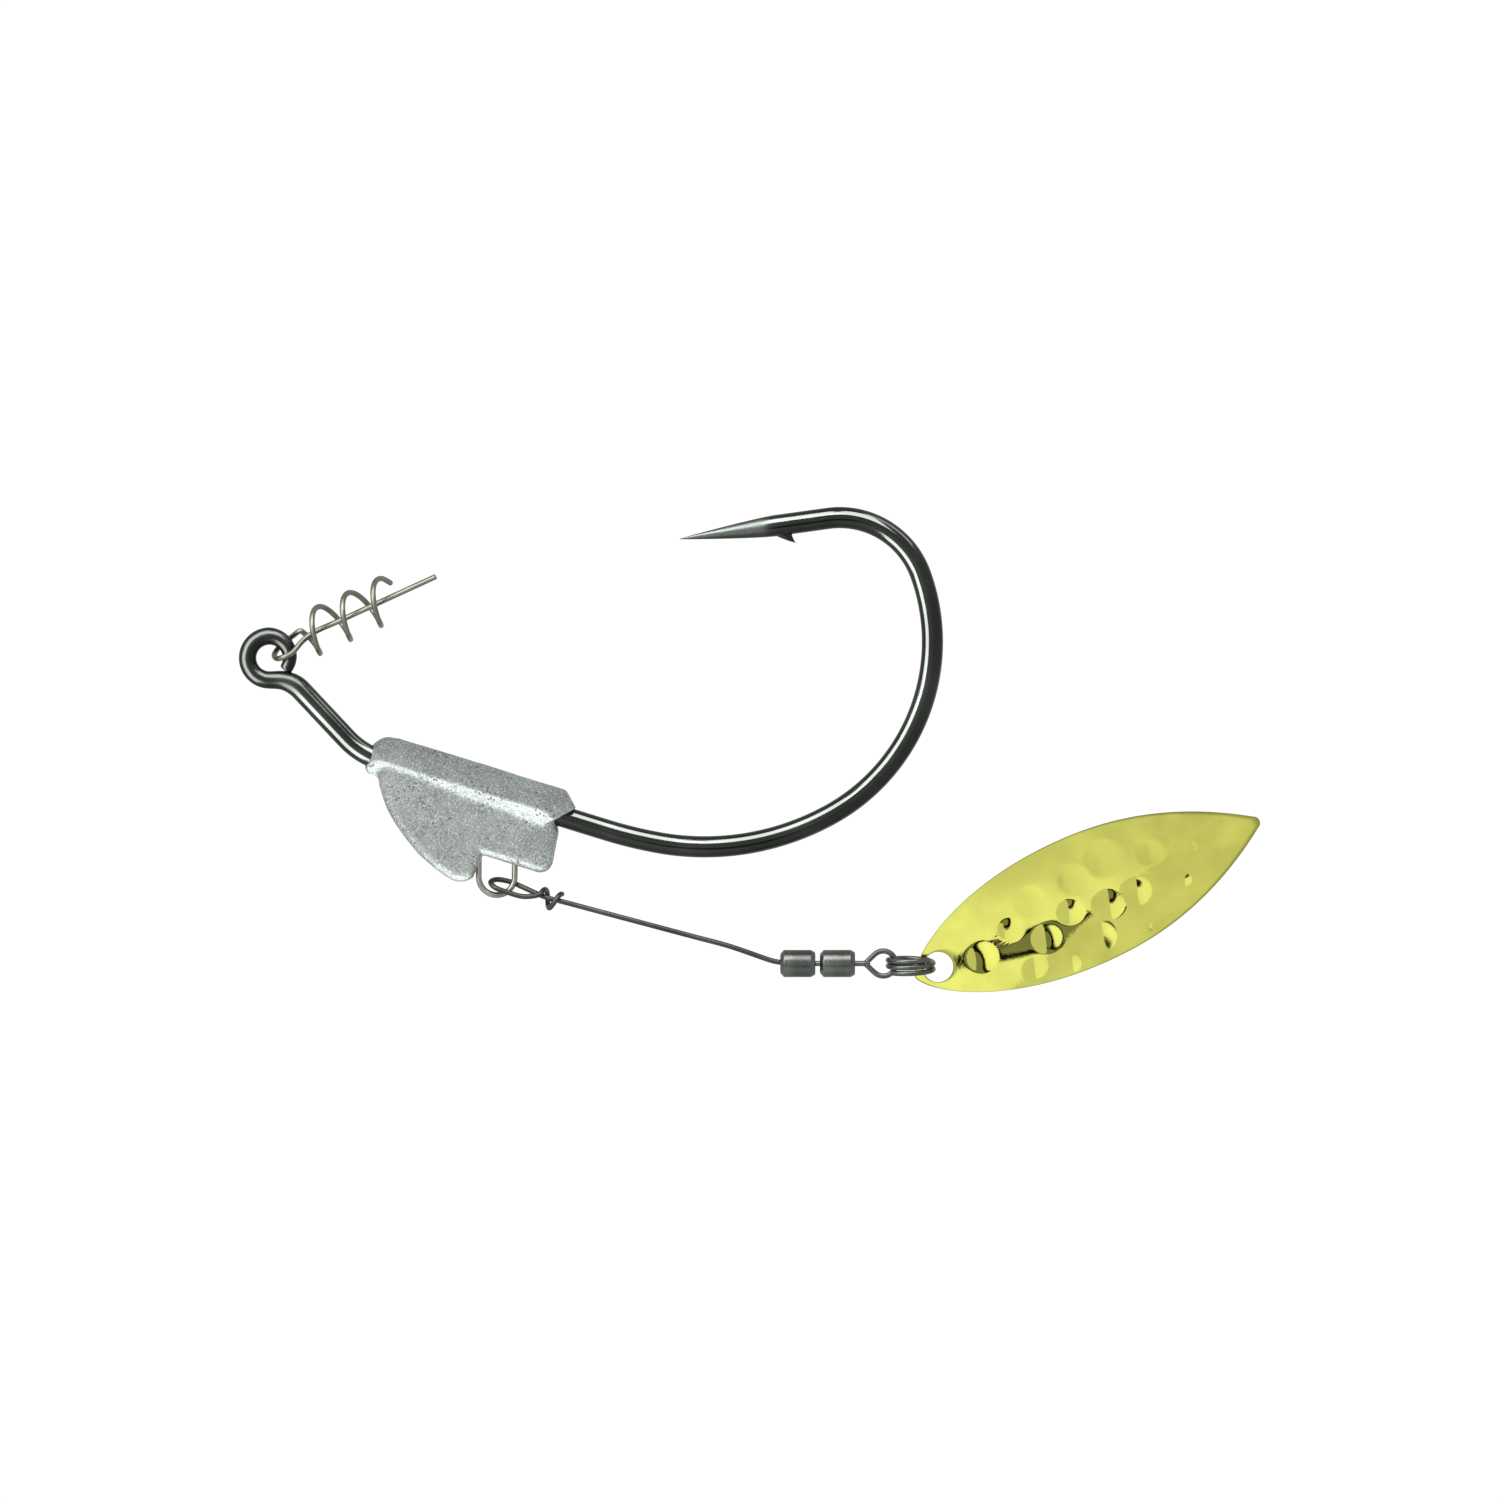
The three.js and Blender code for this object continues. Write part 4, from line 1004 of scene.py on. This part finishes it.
class BuildArm(bpy.types.Operator):
    """Build the spinner arm: a loop on the weight loop, a wrapped tag end and a straight wire"""
    bl_idname = "lure.build_arm"
    bl_label = "Spinner arm"

    def execute(self, context):
        s, weight = settings(context, "arm"), settings(context, "weight")
        start, end, front, _ = arm_places(context)
        _, _, loop_radius = loop_line(weight, settings(context, "hook"))
        half = ((weight.loop_wire + s.wire) / 2 + 0.2 * MM) / sin(s.loop_tilt)

        def place(along, up, across):
            """Places along the arm, square to it and across the lure."""
            return np.column_stack([sloped(start, -s.slope, along, up), across])

        middle = -ARM_LOOP
        nose = middle - loop_radius * ARM_LOOP_REACH
        along = np.array([16 * MM, 9 * MM, 4 * MM, 2 * MM, 0.3 * MM, 0.55 * middle, middle,
                          nose + 0.5 * MM, nose, nose + 0.5 * MM, middle, 0.5 * middle])
        out = np.array([0, 0, 0, 0, 0, 0.6, 1, 0.72, 0, -0.72, -1, -0.95]) * half
        rise = s.bow * np.clip(along / (s.reach * 0.8), 0, None)
        loop = place(along, out * cos(s.loop_tilt) + rise, out * sin(s.loop_tilt))
        turns = np.linspace(TAG_START, TAG_END, 23)
        turn = -2 * pi * turns
        reach = s.wrap - 0.1 * MM * np.cos(turn)
        wrap = place(TAG_PITCH * turns + 0.1 * MM, reach * np.cos(turn), -reach * np.sin(turn))
        inside = front + HEAD_BACK
        stem = np.array([(end[0], inside + HEAD_BALL, 0),
                         (end[0] + 0.10 * MM, front + 0.2 * MM, 0),
                         (end[0] + 0.17 * MM, end[1] + s.wire / 2, 0)])
        elbow = place(np.array([s.reach - s.wire / 2, s.reach * 0.8]),
                      np.array([-s.droop * 0.25, s.bow]), np.zeros(2))
        line = smooth_line(np.vstack([stem, elbow, loop, wrap]))
        wire = wire_shell(line, s.wire / 2, ends=(0.05 * MM, 0.05 * MM))
        ball = np.linspace(0, pi, 13)
        profile = np.column_stack([HEAD_BALL * np.sin(ball) + 1e-6, -HEAD_BALL * np.cos(ball)])
        head = shell(turned_grid(profile, (end[0], inside + HEAD_BALL), 24))
        uv = np.vstack([wire[2], np.zeros((len(head[0]), 2))])
        steel = wire_metal("Spring wire", s.steel, s.roughness, 0.25, 0.3)
        add_piece("arm", [wire[:2], head], steel, "arm", "spinner_arm", uv)
        return {"FINISHED"}


def satin_nickel(s):
    """Satin black nickel with light handling haze and turning lines round the barrels. The
    swivel and the ring share it."""
    name = "Satin black nickel"
    if name in bpy.data.materials:
        return bpy.data.materials[name]
    material, tree, shader = metal(name)
    worn = handled(tree, 420.0)
    place = add(tree, "ShaderNodeTexCoord").outputs["Object"]
    squeeze = add(tree, "ShaderNodeMapping", {"Vector": place, "Scale": (300, 300, 9000)})
    lines = noise(tree, squeeze.outputs[0], 1.0, 3.0)
    tone = between(tree, worn["Haze"], s.plate, 0.8, 1.3)
    rough = ramp(tree, lines, 0.3, 0.7, s.roughness * 0.85, s.roughness * 1.2)
    height = plus(tree, worn["Fine"], times(tree, lines, 0.6))
    finish(tree, shader, tone, rough, height, 0.4, 0.03 * MM)
    return material


BORE = 1.05 * MM            # radius inside a barrel
CLEARANCE = 0.22 * MM       # from a wire to the hole it turns in
HEAD_RADIUS = 0.7 * MM      # of the head on a pin's end, inside a barrel
HEAD_LENGTH = 0.5 * MM
AXIS = 2e-6                 # radius at which a turned profile is shut


def barrel_profile(s, front_hole):
    """Half section of a barrel: rolled-in ends, a front hole, and a rear wall below the rim."""
    outside, whole = s.barrel_width / 2, s.barrel_length
    rear_face = whole - 0.3 * MM
    rear_hole = s.wire / 2 + CLEARANCE
    rim = BORE - 0.15 * MM
    wall = 0.45 * MM
    corners = [(front_hole, 0.2 * MM), (front_hole, 0), (outside - 0.42 * MM, 0),
               (outside, 0.38 * MM), (outside, whole - 0.45 * MM), (outside - 0.25 * MM, whole),
               (rim, whole), (rim - 0.2 * MM, rear_face), (rear_hole, rear_face),
               (rear_hole, rear_face - wall), (BORE, rear_face - wall), (BORE, wall),
               (front_hole, wall), (front_hole, 0.2 * MM)]
    return rounded(corners, 0.09 * MM)


def eye_place(s):
    """Radius of the swivel eye's line, and its centre's distance from the rear barrel's start."""
    radius = (s.eye_width - s.wire) / 2
    return radius, s.barrel_length + s.neck + s.eye_length - s.wire / 2 - radius


class BuildSwivel(bpy.types.Operator):
    """Build the swivel: two barrels, the pin between them and the wire eye"""
    bl_idname = "lure.build_swivel"
    bl_label = "Swivel"

    def execute(self, context):
        s, arm = settings(context, "swivel"), settings(context, "arm")
        _, end, front, rear = arm_places(context)
        plate = satin_nickel(s)
        axis, edge = end[0], radians(50)
        for node, at, wire in (("front_barrel", front, arm.wire), ("rear_barrel", rear, s.wire)):
            profile = barrel_profile(s, wire / 2 + CLEARANCE)[:-1]
            skin_ = shell(turned_grid(profile, (axis, at)), loop=True)
            add_piece(node, [skin_], plate, node, node, sharp=edge)
        thin, neck_end = s.wire / 2, s.barrel_length + s.neck
        first = s.barrel_length - 0.75 * MM - 0.75 * MM
        last = s.barrel_length + s.barrel_gap + 1.2 * MM
        head = [(AXIS, first), (HEAD_RADIUS, first), (HEAD_RADIUS, first + HEAD_LENGTH),
                (thin, first + HEAD_LENGTH)]
        pin = rounded(head + [(thin, last - HEAD_LENGTH), (HEAD_RADIUS, last - HEAD_LENGTH),
                              (HEAD_RADIUS, last), (AXIS, last)], 0.1 * MM)
        pin_skin = shell(turned_grid(pin, (axis, front), 32))
        add_piece("centre_pin", [pin_skin], plate, "centre_pin", "centre_pin",
                  sharp=edge)
        neck = rounded(head + [(thin * 1.02, neck_end + 0.1 * MM),
                               (AXIS, neck_end + 0.22 * MM)], 0.1 * MM)
        neck_skin = shell(turned_grid(neck, (axis, rear), 32))
        radius, middle = eye_place(s)
        turn = np.radians(np.arange(-128, 129, 16))
        ring = np.column_stack([radius * np.sin(turn), middle + radius * np.cos(turn)])
        foot = (0.06 * MM, neck_end - 0.25 * MM)
        knots = flat(np.vstack([(-foot[0], foot[1]), ring, foot]) + (axis, rear))
        eye = wire_shell(smooth_line(knots), s.wire / 2)
        add_piece("swivel_eye", [neck_skin, eye[:2]], plate, "swivel_eye", "swivel_eye")
        return {"FINISHED"}


RING_SLACK = 0.05 * MM      # between neighbouring turns of the ring
RING_GAP = 0.1 * MM         # between the ring and the swivel's eye
RING_DROP = 0.1 * MM        # of the ring's centre below the swivel's axis


def ring_middle(context):
    """Distance from the rear barrel's start to the split ring's centre. The ring's strands stand
    off the axis, so they come less far forward in the round eye."""
    s = settings(context, "swivel")
    radius, middle = eye_place(s)
    offset = 0.75 * (s.wire + RING_SLACK) - RING_DROP
    room = radius - s.wire - RING_GAP
    return middle + sqrt(max(0.0, room**2 - offset**2)) + (s.ring_width - s.wire) / 2


class BuildSplitRing(bpy.types.Operator):
    """Build the split ring: a flat coil of a little over two turns"""
    bl_idname = "lure.build_split_ring"
    bl_label = "Split ring"

    def execute(self, context):
        s = settings(context, "swivel")
        _, end, _, rear = arm_places(context)
        radius = (s.ring_width - s.wire) / 2
        turn = s.ring_turns * np.linspace(-0.5, 0.5, 260)
        around = 2 * pi * turn - pi / 2
        up = (s.wire + RING_SLACK) * turn
        along, across = radius * np.cos(around), radius * np.sin(around)
        up, across = (up * cos(s.ring_tilt) + across * sin(s.ring_tilt),
                      across * cos(s.ring_tilt) - up * sin(s.ring_tilt))
        centre = rear + ring_middle(context)
        line = np.column_stack([end[0] - RING_DROP + up, centre + along, across])
        wire = wire_shell(line, s.wire / 2, ends=(0.05 * MM, 0.05 * MM))
        add_piece("split_ring", [wire[:2]], satin_nickel(s), "split_ring", "split_ring",
                  wire[2])
        return {"FINISHED"}


# ---------------------------------------------------------------- blade

# Hammer marks as (along from the hole, across, radius, depth) in millimetres and shares.
HAMMER_MARKS = (
    (4.5, -0.95, 1.7, 1.0), (8.25, 0.4, 1.4, 0.8), (11.4, -1.9, 1.65, 1.0),
    (11.3, 2.1, 1.8, 0.75), (14.7, -0.45, 1.45, 0.9), (16.25, -4.0, 1.95, 0.9),
    (16.2, 2.4, 1.8, 0.8), (18.6, -1.4, 1.7, 1.0), (20.0, 3.1, 2.1, 0.95),
    (21.6, -1.4, 1.55, 0.9), (20.8, -5.0, 1.2, 0.6), (24.6, 1.7, 1.4, 0.65),
    (26.5, -2.3, 0.85, 0.7), (28.3, 0.4, 1.3, 0.2), (8.95, -4.2, 1.2, 0.55),
    (12.3, -5.4, 1.3, 0.55), (27.6, 3.9, 1.2, 0.2),
)


# Fine chatter marks left across the leaf, as (first, last) distances from the hole in millimetres.
CHATTER = ((1.7, 3.4), (5.9, 8.2))

RIPPLE_HEIGHT, RIPPLE_LENGTH = 0.0035 * MM, 0.33 * MM
RIPPLE_SIDE, RIPPLE_WIDTH = -0.9 * MM, 1.1 * MM     # off the leaf's middle line, and half across
TWIST_AT = 21.0 * MM                # from the hole end to where the leaf is level across
LEAF_POINTS, LEAF_ROWS = 300, 110   # round the leaf, and from its hole to its edge
RIM = 0.12 * MM                     # width of the rounded edge of the sheet
HOLE_FRONT = 1.03 * MM              # from the line of the ring's wire back to the hole's edge
BLADE_DROP = 0.35 * MM              # of the hole's centre below the swivel's axis


def leaf_edge(s):
    """Outline of the leaf as (along, across) from its hole end. Half the width is blunt at the
    hole end, (1 - x^2.05)^0.7, and pointed at the tip, 1 - x^2.15, with the point rounded off."""
    t = np.linspace(0, 1, LEAF_POINTS // 2 + 1)
    along = s.length * (1 - np.cos(pi * t)) / 2
    to_hole = np.clip(1 - along / s.widest, 0, 1)
    sharp = s.length + 0.7 * s.tip_radius
    to_tip = np.clip((along - s.widest) / (sharp - s.widest), 0, 1)
    half = s.width / 2 * (1 - to_hole**2.05) ** 0.7 * (1 - to_tip**2.15)
    left = s.length - along
    tip = np.sqrt(np.clip(left * (2 * s.tip_radius - left), 0, None))
    half = np.where(left < 0.41 * s.tip_radius, tip, half)
    near = np.column_stack([along, half])
    far = near[-2:0:-1] * (1, -1)
    return np.vstack([near, far])


def blade_rise(s, along, across):
    """Height of the leaf's middle sheet: a dish across it, a bow along it, a slight twist, and
    hammer marks, each a bowl (1 - r^2)^1.25 deep at r radii from its middle. Fine ripples cross
    the sheet where the hammering chattered."""
    wide = across / (s.width / 2)
    long = (along - s.widest) / (s.widest - s.hole_setback)
    rise = s.cup * wide**2 + s.bow * (long**2 - 1)
    rise = rise + s.twist * across / MM * (along - TWIST_AT) / MM
    from_hole = along - s.hole_setback
    for at, side, size, depth in HAMMER_MARKS:
        away = np.hypot(from_hole - at * MM, across - side * MM) / (size * MM)
        rise = rise + s.hammering * depth * np.clip(1 - away**2, 0, None) ** 1.25
    for first, last in CHATTER:
        inside = np.clip((from_hole / MM - first) * (last - from_hole / MM) * 4, 0, 1)
        narrow = np.exp(-((across - RIPPLE_SIDE) / RIPPLE_WIDTH) ** 2)
        ripple = np.sin(2 * pi * from_hole / RIPPLE_LENGTH)
        rise = rise + RIPPLE_HEIGHT * inside * narrow * ripple
    return rise


def gold_plate(s):
    """Bright lemon gold with a trace of haze. Along the leaf's edge and round its hole the colour
    is darkened, as painted shade:
    the first coordinate runs from 0 at the hole to 1 at the edge."""
    material, tree, shader = metal("Gold plate")
    worn = handled(tree, 230.0)
    uv = add(tree, "ShaderNodeSeparateXYZ", {0: add(tree, "ShaderNodeUVMap").outputs[0]})
    # Painted shade along the leaf's edge and round its hole
    edge = maths(tree, "MAXIMUM", ramp(tree, uv.outputs[0], 0.975, 1.0, 0.0, 0.8),
                 ramp(tree, uv.outputs[0], 0.03, 0.0, 0.0, 0.8))
    tone = between(tree, worn["Haze"], s.gold, 0.9, 1.06)
    tone = blend(tree, edge, tone, rgba(s.edge_shade))
    rough = plus(tree, times(tree, worn["Haze"], 0.03), s.roughness)
    finish(tree, shader, tone, rough, worn["Fine"], 0.2, 0.01 * MM)
    return material


class BuildBlade(bpy.types.Operator):
    """Build the hammered willow-leaf blade with the hole that hangs on the split ring"""
    bl_idname = "lure.build_blade"
    bl_label = "Blade"

    def execute(self, context):
        s, swivel = settings(context, "blade"), settings(context, "swivel")
        _, end, _, rear = arm_places(context)
        outer = leaf_edge(s)
        turn = np.arctan2(outer[:, 1], outer[:, 0] - s.hole_setback)
        even = -np.linspace(-pi, pi, len(outer), endpoint=False)
        turn = 0.5 * turn + 0.5 * even
        inner = np.column_stack([s.hole_setback + s.hole / 2 * np.cos(turn),
                                 s.hole / 2 * np.sin(turn)])
        outward = outer - inner
        outward /= np.linalg.norm(outward, axis=1)[:, None]
        t = np.linspace(0, 1, LEAF_ROWS)[:, None, None] ** 1.15
        sheet = (inner + outward * RIM) * (1 - t) + (outer - outward * RIM) * t
        rise = blade_rise(s, sheet[..., 0], sheet[..., 1])
        thick = s.thickness / 2
        over = np.dstack([sheet, rise + thick])
        under = np.dstack([sheet, rise - thick])[::-1]
        bend = np.linspace(pi / 2, -pi / 2, 7)[1:-1]

        def rim(line, way):
            """The sheet's half-round edge along a line: way is 1 outwards, -1 into the hole."""
            level = blade_rise(s, line[:, 0], line[:, 1])
            return np.stack([np.column_stack([line - way * outward * RIM * (1 - cos(b)),
                                              level + way * thick * sin(b)]) for b in bend])

        grid = np.concatenate([over, rim(outer, 1), under, rim(inner, -1)])
        out_share = np.concatenate([t[:, 0, 0], np.ones(len(bend)), t[::-1, 0, 0],
                                    np.zeros(len(bend))])
        around = np.arange(len(outer)) / len(outer)
        uv = np.dstack(np.meshgrid(out_share, around, indexing="ij")).reshape(-1, 2)
        hole_at = (ring_middle(context) + (swivel.ring_width - swivel.wire) / 2
                   - HOLE_FRONT + s.hole / 2)
        hole = np.array([end[0] - BLADE_DROP, rear + hole_at])
        along, across = grid[..., 0] - s.hole_setback, grid[..., 1]
        view = sloped(hole, s.slope, along, across)
        grid = np.concatenate([view, grid[..., 2:]], -1)
        add_piece("blade", [shell(grid, loop=True)], gold_plate(s), "blade", "blade",
                  uv)
        return {"FINISHED"}


# ---------------------------------------------------------------- stage

def tent_world(s):
    """White to the eye. In the metal it is a white tent, a little greyer behind the lure, with a
    small dark opening for the camera that has a grey lens in it. Round the opening the tent is
    brighter. It gets extra light below and to the left, and less on the right and near the
    floor."""
    world = bpy.data.worlds.new("White tent")
    bpy.context.scene.world = world
    tree = node_tree(world)
    towards = add(tree, "ShaderNodeTexCoord").outputs["Generated"]

    def glow(direction, *spread):
        """A smooth step over the degrees between the ray and a direction."""
        unit = np.array(direction) / np.linalg.norm(direction)
        dot = add(tree, "ShaderNodeVectorMath", {0: towards, 1: tuple(unit)},
                  operation="DOT_PRODUCT")
        apart = times(tree, maths(tree, "ARCCOSINE", dot.outputs["Value"]), 180 / pi)
        return ramp(tree, apart, *spread)

    lens = (-0.40, -1.0, -0.09)
    tent = glow((0.0, -1.0, 0.0), 60.0, 140.0, s.tent, s.tent * 0.8)
    tent = times(tree, tent, glow(lens, 13.0, 66.0, 1.24, 0.84))
    tent = plus(tree, tent, glow((-0.8, -0.25, 0.6), 62.0, 20.0, 0.0, s.tent * s.fill))
    tent = times(tree, tent, glow((0.35, -0.2, -1.0), 30.0, 75.0, s.shade, 1.0))
    tent = times(tree, tent, glow((0.0, 0.0, -1.0), 79.0, 108.0, 0.86, 1.0))
    tent = times(tree, tent, glow(lens, 9.5, 12.0))
    light = plus(tree, tent, glow(lens, 7.5, 6.5, 0.0, 0.25))
    seen = add(tree, "ShaderNodeLightPath").outputs["Is Camera Ray"]
    strength = plus(tree, times(tree, light, maths(tree, "SUBTRACT", 1.0, seen)),
                    times(tree, seen, 1.04))
    back = add(tree, "ShaderNodeBackground", {"Color": (1, 1, 1, 1), "Strength": strength})
    add(tree, "ShaderNodeOutputWorld", {"Surface": back.outputs[0]})


LIT_PLACE = (-9.4 * MM, 0.0, -35.0 * MM)    # what the soft boxes are aimed at
BOX_SPREAD = radians(39)                    # how far each box reaches round its arc


def soft_boxes(name, pieces, level, places, off, tall, distance=0.34):
    """An arc of soft boxes for a few pieces only. Each stands off the camera's line by the same
    angle, at its own place round that line from above (0) through the eye's side (90)."""
    receivers = bpy.data.collections.new(name)
    for piece in pieces:
        receivers.objects.link(bpy.data.objects[piece + "_surface"])
    tip = radians(off)
    high = 2 * distance * tan(radians(tall / 2))
    wide = distance * sin(tip) * BOX_SPREAD
    for i, around in enumerate(np.radians(places)):
        aim = np.array([cos(around) * sin(tip), -cos(tip), sin(around) * sin(tip)])
        out = np.array([cos(around) * cos(tip), sin(tip), sin(around) * cos(tip)])
        lamp = bpy.data.lights.new(f"{name} {i + 1}", "AREA")
        lamp.shape = "RECTANGLE"
        lamp.size, lamp.size_y = wide, high
        lamp.energy = level * pi * wide * high
        box = bpy.data.objects.new(lamp.name, lamp)
        bpy.context.scene.collection.objects.link(box)
        turn = Matrix(np.column_stack([np.cross(out, aim), out, aim])).to_4x4()
        box.matrix_world = Matrix.Translation(LIT_PLACE + aim * distance) @ turn
        box.visible_camera = False
        box.light_linking.receiver_collection = receivers


SENSOR = 36.0                               # width of the camera's sensor, in its own unit
VIEW_CENTRE = (-9.42 * MM, -49.2 * MM)      # (X, Z) of the middle of the view


class BuildStage(bpy.types.Operator):
    """Set up the camera, the round pale floor and the white tent"""
    bl_idname = "lure.build_stage"
    bl_label = "Stage"

    def execute(self, context):
        s = settings(context, "stage")
        scene = context.scene
        camera = bpy.data.objects.new("Camera", bpy.data.cameras.new("Camera"))
        scene.collection.objects.link(camera)
        camera.data.sensor_width = SENSOR
        camera.data.lens = SENSOR * s.camera_distance / s.view_width
        camera.data.clip_end = 10.0
        aim = (VIEW_CENTRE[0], -s.camera_distance, VIEW_CENTRE[1])
        camera.matrix_world = Matrix(((0, 1, 0, aim[0]), (0, 0, -1, aim[1]),
                                      (-1, 0, 0, aim[2]), (0, 0, 0, 1)))
        scene.camera = camera

        turn = np.linspace(0, 2 * pi, 96, endpoint=False)
        rings = np.array([0.0, 0.35, 0.7, 0.92, 1.0]) * s.floor_radius + 1e-4
        place = np.stack([rings[:, None] * np.cos(turn), rings[:, None] * np.sin(turn),
                          np.full((len(rings), len(turn)), -s.floor_drop)], -1)
        mesh = bpy.data.meshes.new("Floor")
        mesh.from_pydata(place.reshape(-1, 3), [], closed_faces(*place.shape[:2]).tolist())
        material = bpy.data.materials.new("Pale floor")
        tree = node_tree(material)
        mottle = noise(tree, add(tree, "ShaderNodeTexCoord").outputs["Object"], 40.0)
        tone = between(tree, mottle, s.floor, 0.995, 1.005)
        shader = add(tree, "ShaderNodeBsdfPrincipled",
                     {"Base Color": tone, "Roughness": 0.9, "Specular IOR Level": 0.1})
        add(tree, "ShaderNodeOutputMaterial", {"Surface": shader.outputs[0]})
        mesh.materials.append(material)
        floor = bpy.data.objects.new("Floor", mesh)
        scene.collection.objects.link(floor)

        tent_world(s)
        wires = ["front_barrel", "rear_barrel", "centre_pin", "swivel_eye", "split_ring", "arm",
                 "keeper", "weight_loop"]
        soft_boxes("Polish light", ["hook"], s.box, [-22, 16, 54, 92, 130], 56, 38)
        soft_boxes("Edge light", ["hook"], s.box * 0.3, [-40], 84, 18, 0.18)
        soft_boxes("Satin light", wires, s.satin, [-10, 30, 70], 50, 34)
        soft_boxes("Lead light", ["casting"], s.lead_light, [160, 199], 84, 30)
        scene.view_settings.view_transform = "Standard"
        return {"FINISHED"}


# ---------------------------------------------------------------- panel and main

BUILDERS = (BuildHook, BuildWeight, BuildKeeper, BuildArm, BuildSwivel, BuildSplitRing,
            BuildBlade, BuildStage)


class LurePanel(bpy.types.Panel):
    """Sidebar panel with a button and the settings of each piece"""
    bl_idname = "VIEW3D_PT_lure"
    bl_label = "Lure"
    bl_space_type = "VIEW_3D"
    bl_region_type = "UI"
    bl_category = "Lure"

    def draw(self, context):
        for builder in BUILDERS:
            self.layout.operator(builder.bl_idname)
        for name, group in SETTINGS.items():
            box = self.layout.box()
            box.label(text=name.capitalize())
            for key in group.__annotations__:
                box.prop(settings(context, name), key)


def register():
    for cls in (*SETTINGS.values(), *BUILDERS, LurePanel):
        bpy.utils.register_class(cls)
    for name, group in SETTINGS.items():
        setattr(bpy.types.Scene, "lure_" + name, PointerProperty(type=group))


def unregister():
    for name in SETTINGS:
        delattr(bpy.types.Scene, "lure_" + name)
    for cls in (LurePanel, *reversed(BUILDERS), *reversed(list(SETTINGS.values()))):
        bpy.utils.unregister_class(cls)


def main():
    """Builds every piece and the stage."""
    register()
    for builder in BUILDERS:
        getattr(bpy.ops.lure, builder.bl_idname.split(".")[1])()


if __name__ == "__main__":
    main()
